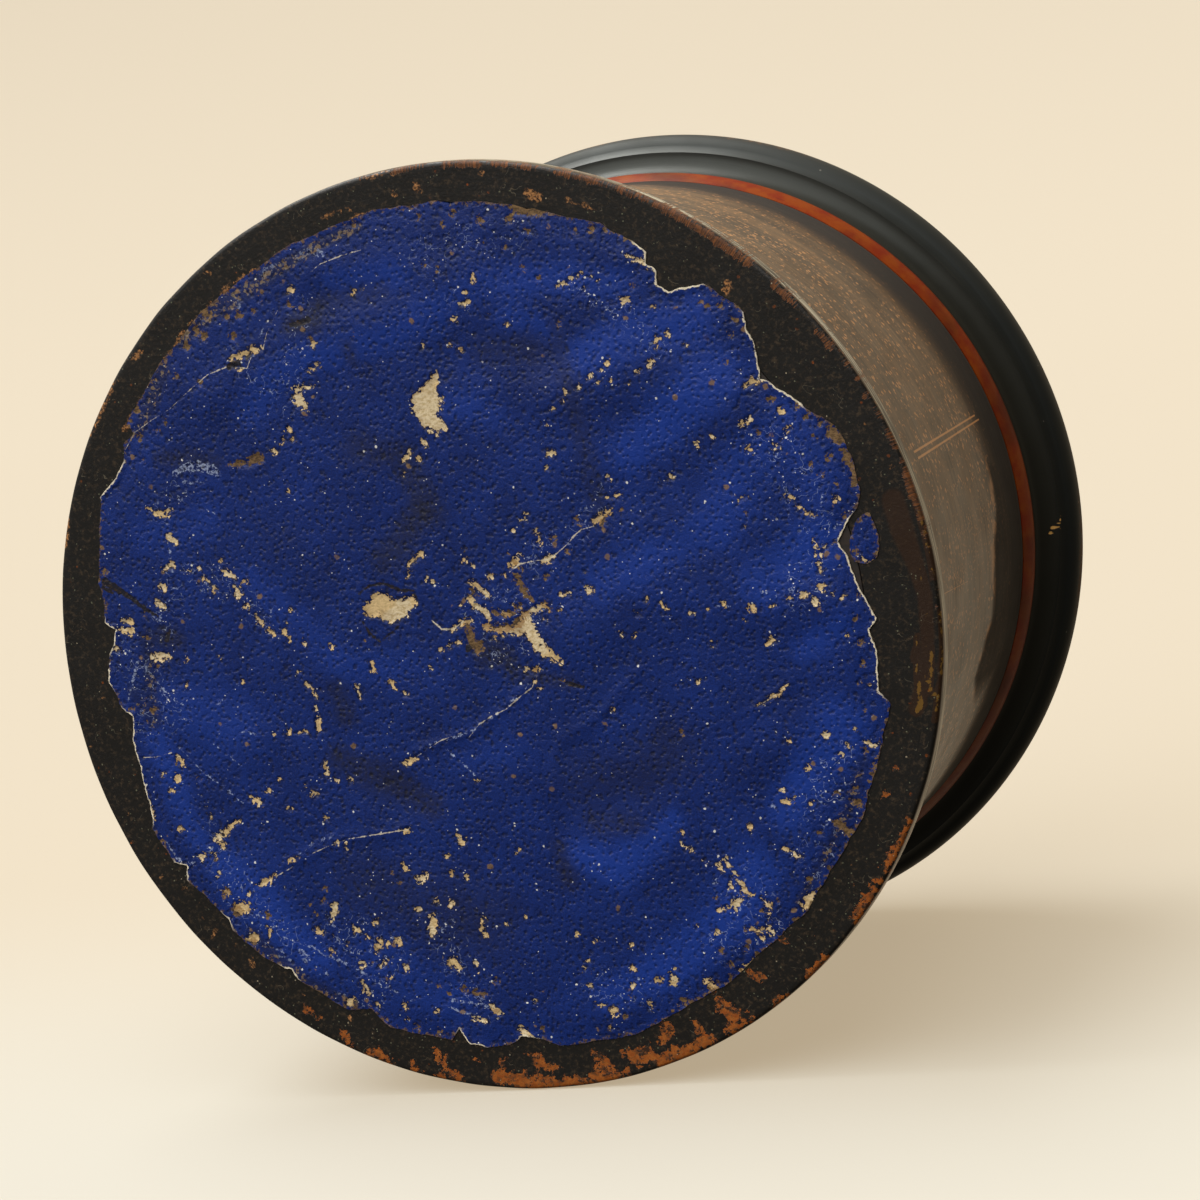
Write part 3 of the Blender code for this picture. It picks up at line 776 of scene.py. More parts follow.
    def bump(
        self, height: Signal, depth: float, under: bpy.types.NodeSocket | None = None
    ) -> bpy.types.NodeSocket:
        """Relief too fine to model.

        Args:
            height: The relief, from 0 to 1.
            depth: What 1 stands for.
            under: Another relief that this one lies on.

        Returns:
            The bent normal.
        """
        inputs = {"Height": height, "Distance": depth, "Strength": 1.0}
        if under is not None:
            inputs["Normal"] = under
        return self.add("ShaderNodeBump", None, inputs).outputs[0]

    def surface(self, **inputs: "Number | Paint") -> bpy.types.Material:
        """Ends the graph in a Principled surface.

        Args:
            inputs: Its sockets, with underscores for the spaces in their names.

        Returns:
            The material.
        """
        sockets = {name.replace("_", " "): full(value) for name, value in inputs.items()}
        shader = self.add("ShaderNodeBsdfPrincipled", None, sockets)
        self.add("ShaderNodeOutputMaterial", None, {"Surface": shader.outputs[0]})
        return self.owner


Paint = Colour | bpy.types.NodeSocket


def moved(base: float, band: Band) -> Band:
    """A band of two places that are given from a base."""
    return base + band[0], base + band[1]


def full(value: "Number | Paint") -> "Number | bpy.types.NodeSocket | tuple[float, float, float, float]":
    """A plain colour with its alpha, and anything else as it is."""
    return (*value, 1.0) if isinstance(value, tuple) else value


@dataclass(frozen=True)
class BluePaper:
    """Glazed, pebbled ultramarine paper, chipped down to its cream core."""

    name: str
    unit: float
    dark_blue: Colour = (0.0020, 0.0085, 0.064)
    bright_blue: Colour = (0.0085, 0.0390, 0.270)
    # Dark blue for rubbing and stains, and for the painted shade in the pits and round the chips
    rubbed_and_shade: Colour = (0.011, 0.011, 0.020)
    cream: Colour = (0.76, 0.55, 0.28)
    chalk: Colour = (0.80, 0.66, 0.43)
    speck: Colour = (0.82, 0.79, 0.72)
    sand: Colour = (0.26, 0.205, 0.125)
    core_tan: Colour = (0.50, 0.35, 0.16)
    core_brown: Colour = (0.30, 0.150, 0.040)
    core_edge: Colour = (0.40, 0.23, 0.085)
    brown: Colour = (0.22, 0.13, 0.055)
    deep_brown: Colour = (0.07, 0.04, 0.018)
    scuffed: Colour = (0.36, 0.42, 0.60)
    white_edge: Colour = (0.80, 0.70, 0.52)
    pebbles_per_metre: float = 2000.0
    pebble_height: float = 0.00006
    chip_depth: float = 0.00004

    def material(self) -> bpy.types.Material:
        """Mixes the paper's colours, chips and wear."""
        graph = Graph(bpy.data.materials.new(self.name))
        ragged = graph.noise(2400, 4, 0.62).swing(1.8)
        fine = graph.noise(6500, 2, 0.6)
        fibre = graph.noise(2400, 4, 0.7, graph.stretched(1.0, 1.6, 1.0))
        flake = graph.flakes(2900)
        rim, torn, distress, stain = (graph.attribute(name) for name in ("rim", "torn", "distress", "stain"))

        dimple = graph.cells(self.pebbles_per_metre, "SMOOTH_F1")[0]
        pebble = (dimple + ragged * 0.14).rise(0.02, 0.50)
        glow = graph.attribute("glow") * 0.57 + 0.31 + graph.noise(160, 3, 0.55).swing(0.6) + fine.swing(0.9)
        # Painted shade and highlight of the pebbling: lighter on the rims, darker in the pits
        glow = glow + (pebble - 0.6) * 0.22
        # The rubbed patches, with painted shade in the pebbles' pits
        dirt_and_pit_shade = (pebble.rise(0.7, 0.0) * 0.40 + graph.attribute("rub") * (0.75 + ragged)).most(0.0).least(0.92)
        scuff = (graph.attribute("scuff").least(0.14) + ragged * 0.60 + fine.swing(0.5)).rise(0.10, 0.26)
        broken = graph.noise(800, 4, 0.7).swing(2.4) + flake * 0.9 + fine.swing(0.6)
        sandy = (stain * 0.9 + broken + ragged * 0.5).rise(0.95, 1.15)
        hairs = graph.hairlines(900, 0.012, 0.5) * distress.rise(0.1, 0.7)

        near_rim = rim.rise(2.4, 0.2)
        halo = graph.attribute("chip").rise(-0.70, -0.10) * 0.10
        white_specks = graph.specks(1500, 0.20, 0.025 + near_rim * 0.04 + distress * 0.12 + halo)
        small_specks = graph.specks(3300, 0.22, 0.025 + near_rim * 0.03 + distress * 0.14 + halo)
        brown_specks = graph.specks(800, 0.26, 0.015 + near_rim * 0.25 + distress * 0.14)

        brown = (graph.attribute("brown") + flake * 0.46 + ragged * 0.60 + fine.swing(0.6)).rise(0.06, 0.14)
        brown_mix = graph.tint(fibre.rise(0.35, 0.65), self.deep_brown, self.brown)
        flaked = graph.attribute("chip") + flake * 0.44 + ragged * 0.48 + fine.swing(0.5)
        chip = flaked.rise(0.05, 0.09)
        whiter = graph.noise(260, 2, 0.6).rise(0.46, 0.54)
        core = graph.coats(
            graph.tint(fibre.rise(0.30, 0.62), self.core_tan, graph.tint(whiter, self.cream, self.chalk)),
            (graph.noise(420, 3, 0.6).rise(0.52, 0.70) * 0.5, self.brown),
            (brown * fibre.rise(0.30, 0.55) * 0.8, self.core_brown),
            (flaked.rise(0.20, 0.07) * 0.65, self.core_edge),
        )
        x, y = graph.axes[:2]
        lines = [chain * (self.unit / MILLIMETRE) for chain in chains(FINE_LINE_SHARES)]
        line = graph.strokes(lines, x / MILLIMETRE, y / MILLIMETRE) + ragged * 0.12 + broken * 0.080 - 0.040
        crack = (graph.attribute("crack") + ragged * 0.30).rise(-0.02, 0.08)
        edge = (rim - (0.10 + ragged * 0.26 + flake * 0.10)).rise(0.05, -0.03)
        browned = (rim - 0.06 - ragged * 1.1 - flake * 0.5).rise(0.12, -0.10) * (1 - torn)

        colour = graph.coats(
            graph.tint(glow.rise(-0.05, 1.0), self.dark_blue, self.bright_blue),
            (dirt_and_pit_shade, self.rubbed_and_shade),
            (scuff * 0.75, self.scuffed),
            (stain.rise(0.1, 0.9) * 0.5, self.rubbed_and_shade),
            (sandy * 0.7, graph.tint(fibre.rise(0.4, 0.6), self.brown, self.sand)),
            (hairs * 0.55, self.scuffed),
            (white_specks.most(small_specks) * 0.85, self.speck),
            (brown_specks * 0.8, self.brown),
            (brown, brown_mix),
            # A painted shadow round each chip
            (flaked.rise(-0.16, -0.02) * 0.6, self.rubbed_and_shade),
            (chip, core),
            (line.rise(-0.02, 0.04) * 0.70, self.white_edge),
            (crack, graph.tint(fibre.rise(0.50, 0.70), self.rubbed_and_shade, self.deep_brown)),
            (browned * 0.8, brown_mix),
            (edge * torn, self.white_edge),
        )
        bare = chip.most(brown * 0.7).most(edge * torn)
        gloss = 0.36 + dirt_and_pit_shade * 0.20 + bare * 0.42 + fine.swing(0.12)
        normal = graph.bump(pebble * (1 - bare) + fine * 0.40 + ragged * 0.35, self.pebble_height)
        normal = graph.bump(fibre * bare - chip * 0.6, self.chip_depth, normal)
        return graph.surface(Base_Color=colour, Roughness=gloss, Normal=normal, Specular_IOR_Level=0.27)


@dataclass(frozen=True)
class CaseFinish:
    """Dark satin lacquer on the wall, worn black paint on the foot, and bare wood inside.

    The bands say where a part of the finish fades in, in metres: the halves of the foot and the levels of
    the wall from the origin, the rest from the foot's radius, the wall's radius or the underside.
    """

    underside: float
    wall_radius: float
    foot_radius: float
    name: str = "case_lacquer_and_wear"
    wall_dark: Colour = (0.028, 0.015, 0.007)
    wall_light: Colour = (0.128, 0.066, 0.025)
    # Dark flecks on the wall, and the painted shade under the lid
    wall_black_fleck_and_shade: Colour = (0.010, 0.006, 0.003)
    fleck: Colour = (0.55, 0.250, 0.085)
    side_dark: Colour = (0.020, 0.016, 0.010)
    # A painted highlight on the black side of the foot
    side_highlight: Colour = (0.420, 0.370, 0.270)
    foot_black: Colour = (0.0080, 0.0068, 0.0056)
    foot_brown: Colour = (0.070, 0.046, 0.026)
    orange_wood: Colour = (0.26, 0.058, 0.003)
    worn_brown: Colour = (0.15, 0.056, 0.016)
    pale_wood: Colour = (0.40, 0.122, 0.015)
    pale_fleck: Colour = (0.40, 0.33, 0.22)
    gold: Colour = (0.16, 0.080, 0.012)
    red_brown: Colour = (0.030, 0.0125, 0.005)
    dust: Colour = (0.16, 0.16, 0.10)
    inside_wood: Colour = (0.23, 0.115, 0.050)
    inside_dark: Colour = (0.10, 0.046, 0.020)
    crack: Colour = (0.006, 0.005, 0.004)
    grain_depth: float = 0.000016
    fine_half: Band = (0.010, -0.005)
    rubbed_half: Band = (-0.028, 0.004)
    inboard: Band = (-0.0004, -0.0014)
    rubbed_strip: Band = (0.0008, 0.0004)
    under_foot: Band = (0.00045, 0.00015)
    side_bottom: Band = (0.0003, 0.0005)
    side_low_line: Band = (0.0007, 0.0004)
    side_high_line: Band = (0.0016, 0.0020)
    side_top: Band = (0.0026, 0.0023)
    middle_bottom: Band = (0.006, 0.014)
    middle_top: Band = (0.053, 0.046)
    shaded_top: Band = (0.044, 0.052)
    dull_top: Band = (0.044, 0.051)
    bore_wall: Band = (-0.0012, -0.0014)
    bore_bottom: Band = (0.0030, 0.0034)

    def foot_paint(self, graph: Graph) -> bpy.types.NodeSocket:
        """Black paint under the foot, with dust, varnish and thin places."""
        ragged = graph.noise(1300, 5, 0.68).swing(2.0)
        gold = graph.attribute("gold")
        patchy = graph.noise(1100, 4, 0.7).swing(2.4) + graph.flakes(2600) * 0.6
        thin = (graph.attribute("thin") + ragged * 0.60 + graph.flakes(2600) * 0.3).rise(-0.02, 0.20)
        streak = graph.noise(3800, 3, 0.65).rise(0.40, 0.66)
        return graph.coats(
            self.foot_black,
            (graph.noise(1900, 5, 0.75).rise(0.50, 0.68) * 0.65, self.foot_brown),
            (graph.hairlines(420, 0.005, 0.15) * 0.25, self.pale_fleck),
            (gold.rise(0.1, 0.3) * 0.75, self.red_brown),
            ((gold + patchy).rise(0.95, 1.20) * 0.9, self.gold),
            (graph.specks(3000, 0.24, 0.080 + graph.attribute("dust") * 0.25) * 0.8, self.dust),
            (graph.specks(1000, 0.16, 0.16) * ragged.rise(-0.2, 0.3) * 0.8, self.orange_wood),
            (graph.specks(1200, 0.10, 0.09) * 0.8, self.pale_fleck),
            (thin * 0.85, graph.tint(streak, self.red_brown, self.fleck)),
        )

    def bare_wood(self, graph: Graph) -> tuple[bpy.types.NodeSocket, Signal]:
        """Wood where the foot's paint is gone.

        Args:
            graph: The material's nodes.

        Returns:
            The wood's colour, and how far the paint is gone.
        """
        x, y, z = graph.axes
        fine_side = y.rise(*self.fine_half)
        inboard = graph.radius.rise(*moved(self.foot_radius, self.inboard))
        ragged = graph.noise(1300, 5, 0.70).swing(2.0)
        hatch = (graph.spokes(300, 2, 0.6) - 0.5) * (0.4 + fine_side * 1.4)
        torn_paint = graph.noise(640, 5, 0.7) - 0.5
        frayed = graph.attribute("wear") + torn_paint * (1 - fine_side) * 3.2 + ragged * 0.80 + hatch
        upper = x.rise(*self.rubbed_half) * fine_side * z.rise(*moved(self.underside, self.rubbed_strip))
        patchy = graph.noise(260, 3, 0.6).swing(2.0)
        strip = upper - inboard * 1.2 - 1.0 + hatch * 0.6 + ragged * 0.45 + patchy
        worn = (frayed + graph.flakes(2300) * 0.35 - fine_side * inboard * 0.9).most(strip).rise(0.0, 0.07)
        left = graph.noise(1100, 5, 0.75).rise(0.53, 0.59)
        stained = graph.spokes(420, 3, 0.7).rise(0.42, 0.56) * fine_side
        spotted = graph.noise(1500, 4, 0.7).rise(0.48, 0.62) * 0.7
        wood = graph.coats(
            self.orange_wood,
            (graph.noise(3000, 4, 0.7).rise(0.36, 0.66), self.pale_wood),
            (fine_side * 0.75, self.worn_brown),
            ((stained * 0.8).most(spotted), self.red_brown),
            (graph.specks(1300, 0.09, 0.20) * 0.8, self.pale_fleck),
        )
        return wood, worn * (1 - left * (0.9 - fine_side * 0.5))

    def foot_side(self, graph: Graph) -> tuple[bpy.types.NodeSocket, Signal]:
        """Turned lines on the side of the foot, with a painted highlight between them.

        Args:
            graph: The material's nodes.

        Returns:
            The side's colour, and where it shows.
        """
        level = graph.axes[2] - self.underside
        edge = level.rise(*self.side_high_line).most(level.rise(*self.side_low_line))
        # The light lines are a painted highlight on the black side; both edges stay dark
        lines = graph.round_grain(5200, 150, 3, 0.6).rise(0.40, 0.60)
        colour = graph.tint(lines * (1 - edge), self.side_dark, self.side_highlight)
        return colour, level.rise(*self.side_bottom) * level.rise(*self.side_top)

    def wall_colour(self, graph: Graph) -> bpy.types.NodeSocket:
        """Dark lacquer with fine turning marks and flecks of wood drawn out round the wall, and painted shade
        towards the band.
        """
        z = graph.axes[2]
        fine = graph.round_grain(1700, 170, 4, 0.7)
        broad = graph.round_grain(240, 45)
        zones = graph.round_grain(220, 60).rise(0.35, 0.62)
        middle = z.rise(*self.middle_bottom) * z.rise(*self.middle_top)
        # Painted shade under the lid: darker towards the band and past the lacquer lip
        near_band = (z + broad.swing(0.006)).rise(*self.shaded_top).most(graph.attribute("beyond") * 0.9)
        broken = graph.round_grain(300, 300).rise(0.42, 0.58)
        scratch = (graph.wall_strokes(WALL_SCRATCHES, self.wall_radius) + fine.swing(0.10)).rise(-0.02, 0.05)
        return graph.coats(
            self.wall_dark,
            ((fine * 0.6 + broad * 0.4).rise(0.36, 0.64), self.wall_light),
            (graph.specks(1300, 0.32, 0.20) * 0.6, self.wall_black_fleck_and_shade),
            (graph.specks(1500, 0.38, 0.10 + middle * zones * 0.45) * 0.68, self.fleck),
            (graph.specks(2400, 0.36, 0.12 + middle * 0.22) * 0.45, self.fleck),
            # The painted shade towards the band
            (near_band * 0.95, self.wall_black_fleck_and_shade),
            (graph.attribute("ridge") * broken * 0.7, self.fleck),
            (scratch * 0.9, self.fleck),
            (graph.attribute("crack").rise(-0.05, 0.10) * 0.9, self.crack),
        )

    def material(self) -> bpy.types.Material:
        """Joins the wall, the foot and the inside at the arrises between them."""
        graph = Graph(bpy.data.materials.new(self.name))
        z = graph.axes[2]
        wood, worn = self.bare_wood(graph)
        side, on_side = self.foot_side(graph)
        on_foot = z.rise(*moved(self.underside, self.under_foot))
        in_bore = graph.radius.rise(*moved(self.wall_radius, self.bore_wall))
        inside = in_bore * z.rise(*self.bore_bottom)
        grain = graph.noise(1500, 4, 0.6, graph.stretched(1.0, 1.0, 0.10))
        bare = (grain * 0.6 + graph.round_grain(3600, 30) * 0.4).rise(0.36, 0.62)
        colour = graph.coats(
            self.wall_colour(graph),
            (on_side, side),
            (on_foot, self.foot_paint(graph)),
            (worn, wood),
            (inside, graph.tint(bare, self.inside_dark, self.inside_wood)),
        )
        turning = graph.round_grain(6500, 60)
        smear = graph.noise(220, 3, 0.6)
        beyond = graph.attribute("beyond")
        near_band = z.rise(*self.dull_top).most(beyond)
        gloss_wall = 0.37 + turning.swing(0.20) + smear.swing(0.26) + near_band * 0.50
        gloss_foot = 0.40 + worn * 0.25 + smear.swing(0.2)
        gloss = gloss_wall + (gloss_foot - gloss_wall) * on_foot
        gloss = gloss + (0.68 - gloss) * inside
        height = turning * 0.5 + graph.noise(4200, 3, 0.6) * on_foot * 1.6 - worn * 2.0 + beyond * 2.0
        normal = graph.bump(height, self.grain_depth)
        return graph.surface(Base_Color=colour, Roughness=gloss, Normal=normal, Specular_IOR_Level=0.33)


@dataclass(frozen=True)
class BandLacquer:
    """Glossy orange-red lacquer, darker in patches, with a painted pink highlight along its top edge."""

    top: float
    name: str = "red_band_lacquer"
    orange: Colour = (0.20, 0.034, 0.0005)
    red: Colour = (0.16, 0.013, 0.0003)
    pink_highlight: Colour = (0.36, 0.165, 0.120)
    grime: Colour = (0.030, 0.007, 0.003)
    grain_depth: float = 0.00001
    highlight_top: Band = (-0.0005, -0.0001)

    def material(self) -> bpy.types.Material:
        """Mixes the band's colour and its smooth, slightly wavy gloss."""
        graph = Graph(bpy.data.materials.new(self.name))
        fine = graph.round_grain(2600, 300, 3, 0.6)
        colour = graph.coats(
            self.orange,
            (graph.noise(520, 4, 0.65).rise(0.35, 0.66), self.red),
            (fine.rise(0.62, 0.74) * 0.55, self.grime),
            (graph.noise(90).rise(0.50, 0.66) * 0.55, self.grime),
            # A painted highlight along the top edge
            (graph.axes[2].rise(*moved(self.top, self.highlight_top)) * 0.45, self.pink_highlight),
        )
        gloss, normal = 0.40 + fine.swing(0.15), graph.bump(fine, self.grain_depth)
        return graph.surface(Base_Color=colour, Roughness=gloss, Normal=normal, Specular_IOR_Level=0.10)


@dataclass(frozen=True)
class LidLacquer:
    """Polished black lacquer, greenish where it is thin, worn brown on its arrises."""

    rim_radius: float
    name: str = "black_lid_lacquer"
    black: Colour = (0.0100, 0.0105, 0.0095)
    thin: Colour = (0.016, 0.0145, 0.0105)
    brown: Colour = (0.15, 0.070, 0.026)
    chip: Colour = (0.62, 0.33, 0.085)
    wood: Colour = (0.23, 0.115, 0.050)
    wood_dark: Colour = (0.10, 0.046, 0.020)
    dust: Colour = (0.24, 0.22, 0.18)
    sheen: Colour = (0.90, 0.98, 0.94)
    grain_depth: float = 0.000010
    cove_shares: Band = (0.965, 0.950)
    roll_shares: Band = (0.960, 0.985)

    def material(self) -> bpy.types.Material:
        """Mixes the lacquer outside and the bare wood of the collar and the hollow."""
        graph = Graph(bpy.data.materials.new(self.name))
        ragged = graph.noise(1300, 4, 0.65) - 0.5
        turning = graph.round_grain(5200, 90, 3, 0.6)
        smear = graph.noise(180, 3, 0.6)
        in_cove = graph.radius.rise(*(self.rim_radius * share for share in self.cove_shares))
        cove = in_cove * (0.6 + smear * 0.8)
        worn = (graph.attribute("rub") + ragged * 0.9).rise(0.62, 1.0)
        chip = (graph.wall_strokes(RIM_CHIPS, self.rim_radius) + ragged * 0.20).rise(0.0, 0.06)
        hollow = graph.attribute("hollow").rise(0.4, 0.6)
        grain = graph.noise(1300, 4, 0.6, graph.stretched(1.0, 1.0, 0.3))
        bare = (grain * 0.6 + graph.round_grain(3000, 30) * 0.4).rise(0.36, 0.62)
        colour = graph.coats(
            self.black,
            (turning.rise(0.45, 0.75) * smear.rise(0.35, 0.65), self.thin),
            (cove.least(1.0), self.thin),
            (graph.specks(420, 0.05, 0.30) * 0.5, self.dust),
            (worn * 0.8, self.brown),
            (chip, self.chip),
            (hollow, graph.tint(bare, self.wood_dark, self.wood)),
        )
        gloss = 0.40 + smear.swing(0.20) + turning.swing(0.12) + (worn + chip) * 0.25
        gloss = gloss + graph.radius.rise(*(self.rim_radius * share for share in self.roll_shares)) * 0.16
        gloss = gloss + (0.66 - gloss) * hollow
        normal = graph.bump(turning - chip * 2.0 - worn, self.grain_depth)
        shine = {"Specular_IOR_Level": 0.30, "Specular_Tint": self.sheen}
        return graph.surface(Base_Color=colour, Roughness=gloss, Normal=normal, **shine)


@dataclass(frozen=True)
class DiscWood:
    """Black paint on the bottom disc, thin enough to show turning rings and straight grain."""

    name: str = "bottom_disc_wood"
    dark: Colour = (0.0105, 0.0085, 0.0070)
    light: Colour = (0.030, 0.017, 0.010)
    grain_depth: float = 0.00003

    def material(self) -> bpy.types.Material:
        """Mixes the grain, the rings and a dull finish."""
        graph = Graph(bpy.data.materials.new(self.name))
        grain = graph.noise(1600, 5, 0.6, graph.stretched(0.06, 1.0, 1.0))
        rings = graph.round_grain(3200, 20)
        colour = graph.tint((grain * 0.7 + rings * 0.3).rise(0.36, 0.64), self.dark, self.light)
        normal = graph.bump(grain * 0.6 + rings * 0.6, self.grain_depth)
        return graph.surface(Base_Color=colour, Roughness=0.62 + grain.swing(0.2), Normal=normal)


@dataclass(frozen=True)
class EyeletBrass:
    """Brass, polished by the string and dull elsewhere."""

    name: str = "worn_brass"
    bright: Colour = (0.72, 0.50, 0.20)
    dull: Colour = (0.30, 0.19, 0.075)
    scratch_depth: float = 0.000006

    def material(self) -> bpy.types.Material:
        """Mixes the metal's tarnish and fine scratches."""
        graph = Graph(bpy.data.materials.new(self.name))
        tarnish = graph.noise(900, 4, 0.6)
        scratch = graph.round_grain(9000, 200, 3, 0.6)
        dulled = tarnish.rise(0.45, 0.68)
        colour = graph.tint(dulled, self.bright, self.dull)
        gloss = 0.24 + dulled * 0.22 + scratch.swing(0.2)
        normal = graph.bump(scratch, self.scratch_depth)
        return graph.surface(Base_Color=colour, Metallic=1.0, Roughness=gloss, Normal=normal)


MERGE_DISTANCE = 0.000002
SECTOR_DOUBLINGS = 3


def vertices_in(geometry: Iterable[bmesh.types.BMVert | bmesh.types.BMEdge]) -> list[bmesh.types.BMVert]:
    """The vertices among pieces of geometry."""
    return [item for item in geometry if isinstance(item, bmesh.types.BMVert)]


class TurningPen:
    """Draws a turning profile in the XZ plane: straight runs are extruded and curves are spun."""

    def __init__(self, x: float, z: float) -> None:
        """Sets the pen down at its first point."""
        self.mesh = bmesh.new()
        self.tip = bmesh.ops.create_vert(self.mesh, co=(x, 0.0, z))["vert"][0]

    def line(self, x: float, z: float, steps: int = 1) -> "TurningPen":
        """Draws a straight run.

        Args:
            x: Radius that it ends at.
            z: Level that it ends at.
            steps: How many edges it has.

        Returns:
            The pen.
        """
        start, end = self.tip.co.copy(), Vector((x, 0.0, z))
        for step in range(1, steps + 1):
            self.tip = bmesh.ops.extrude_vert_indiv(self.mesh, verts=[self.tip])["verts"][0]
            self.tip.co = start.lerp(end, step / steps)
        return self

    def arc(self, x: float, z: float, degrees: float, steps: int) -> "TurningPen":
        """Draws an arc.

        Args:
            x: Radius of its centre.
            z: Level of its centre.
            degrees: How far it turns, positive from the radius towards the axis.
            steps: How many edges it has.

        Returns:
            The pen.
        """
        centre, axis, angle = (x, 0.0, z), (0.0, -1.0, 0.0), math.radians(degrees)
        made = bmesh.ops.spin(self.mesh, geom=[self.tip], cent=centre, axis=axis, angle=angle, steps=steps)
        self.tip = vertices_in(made["geom_last"])[0]
        return self

    def turned(self, name: str, segments: int, sharp_degrees: float = 35.0) -> bpy.types.Object:
        """Spins the profile round the axis.

        Args:
            name: The piece's name.
            segments: How many steps go round.
            sharp_degrees: Edges that bend more than this stay crisp.

        Returns:
            The turned piece.
        """
        geometry = self.mesh.verts[:] + self.mesh.edges[:]
        sector = math.tau / 2**SECTOR_DOUBLINGS
        steps = segments // 2**SECTOR_DOUBLINGS
        bmesh.ops.spin(self.mesh, geom=geometry, cent=(0, 0, 0), axis=(0, 0, 1), angle=sector, steps=steps)
        for doubling in range(SECTOR_DOUBLINGS):
            whole = self.mesh.verts[:] + self.mesh.edges[:] + self.mesh.faces[:]
            copied = bmesh.ops.duplicate(self.mesh, geom=whole)["geom"]
            turn = Matrix.Rotation(sector * 2**doubling, 3, "Z")
            bmesh.ops.rotate(self.mesh, verts=vertices_in(copied), matrix=turn)
        bmesh.ops.remove_doubles(self.mesh, verts=self.mesh.verts[:], dist=MERGE_DISTANCE)
        bmesh.ops.recalc_face_normals(self.mesh, faces=self.mesh.faces[:])
        return piece_from(self.mesh, name, sharp_degrees)


def piece_from(mesh: bmesh.types.BMesh, name: str, sharp_degrees: float) -> bpy.types.Object:
    """Ends a mesh as an object at the origin.

    Args:
        mesh: The mesh, which is freed.
        name: The piece's name.
        sharp_degrees: Edges that bend more than this stay crisp.

    Returns:
        The object.
    """
    data = bpy.data.meshes.new(name)
    mesh.to_mesh(data)
    mesh.free()
    data.shade_smooth()
    data.set_sharp_from_angle(angle=math.radians(sharp_degrees))
    piece = bpy.data.objects.new(name, data)
    bpy.context.scene.collection.objects.link(piece)
    return piece


def points_of(piece: bpy.types.Object) -> np.ndarray:
    """The vertices of a piece, a row each."""
    data = piece.data
    points = np.empty(len(data.vertices) * 3)
    data.vertices.foreach_get("co", points)
    return points.reshape(-1, 3)


def move_points(piece: bpy.types.Object, points: np.ndarray) -> None:
    """Puts the vertices of a piece at new places."""
    piece.data.vertices.foreach_set("co", points.ravel())
    piece.data.update()


def store(piece: bpy.types.Object, name: str, values: np.ndarray) -> None:
    """Stores a number for each vertex, for the materials to read."""
    attribute = piece.data.attributes.new(name, "FLOAT", "POINT")
    attribute.data.foreach_set("value", values.astype(np.float32))


def noise_at(places: np.ndarray, scale: float) -> np.ndarray:
    """Smooth noise from -1 to 1 at each place, which changes scale times in a metre."""
    return np.array([noise.noise(Vector(place)) for place in places * scale])


def waves_at(places: np.ndarray, waves: Waves) -> np.ndarray:
    """Noise summed at places in the plane, of which each wave gives a scale and a weight."""
    flat = np.column_stack([places, np.zeros(len(places))])
    return sum(weight * noise_at(flat + number, scale) for number, (scale, weight) in enumerate(waves))


def closeness(distance: np.ndarray, width: float) -> np.ndarray:
    """A ridge that is 1 at no distance and falls to 0 at this width."""
    return np.clip(1 - np.abs(distance) / width, 0, 1)


def chains(strokes: Iterable[Stroke], dots: dict[int, Stroke] | None = None) -> list[np.ndarray]:
    """Splits strokes, and the places of single dots under their size, into rows of place and size."""
    made = [np.reshape(stroke, (-1, 3)) for stroke in strokes]
    for size, places in (dots or {}).items():
        made += [np.array([[x, y, size]]) for x, y in np.reshape(places, (-1, 2))]
    return made


def round_places(outline: Sequence[float]) -> np.ndarray:
    """Places in the plane, a row each, from pairs of azimuth and radius."""
    azimuth, radius = np.reshape(outline, (-1, 2)).T
    turn = np.radians(azimuth)
    return np.column_stack([radius * np.cos(turn), radius * np.sin(turn)])


def polar(strokes: Iterable[Stroke]) -> list[np.ndarray]:
    """Chains given by azimuth and radius share, turned into x and y."""
    return [np.column_stack([round_places(chain[:, :2]), chain[:, 2]]) for chain in chains(strokes)]


def unrolled(strokes: Iterable[Stroke], radius: float) -> list[np.ndarray]:
    """Chains on a wall, by azimuth and millimetres, laid out in metres on the unrolled wall."""
    made = []
    for azimuth, level, size in (chain.T for chain in chains(strokes)):
        made.append(np.column_stack([np.radians(azimuth) * radius, level * MILLIMETRE, size * MILLIMETRE]))
    return made


def _gaps(places: np.ndarray, dabs: np.ndarray) -> tuple[np.ndarray, np.ndarray]:
    """Distance of each place from a chain of dabs, and the size of the chain there.

    Args:
        places: Places in the plane, a row each.
        dabs: The chain: x, y and size, a row each.

    Returns:
        The distances and the sizes, of the stretch where the place lies deepest.
    """
    if len(dabs) == 1:
        dabs = np.vstack([dabs, dabs])
    gap, size = np.full(len(places), np.inf), np.full(len(places), dabs[:, 2].max())
    for start, end in zip(dabs[:-1], dabs[1:]):
        along = end[:2] - start[:2]
        reach = max(float(along @ along), SHORTEST_IN_METRES)
        share = np.clip((places - start[:2]) @ along / reach, 0, 1)
        distance = np.linalg.norm(places - start[:2] - share[:, None] * along, axis=1)
        width = start[2] + share * (end[2] - start[2])
        closer = width - distance > size - gap
        gap, size = np.where(closer, distance, gap), np.where(closer, width, size)
    return gap, size


def _near(places: np.ndarray, dabs: np.ndarray, margin: float) -> np.ndarray:
    """Numbers of the places that lie within a margin of a chain's box."""
    room = dabs[:, 2].max() + margin
    low, high = dabs[:, :2].min(0) - room, dabs[:, :2].max(0) + room
    return np.flatnonzero(((places >= low) & (places <= high)).all(1))


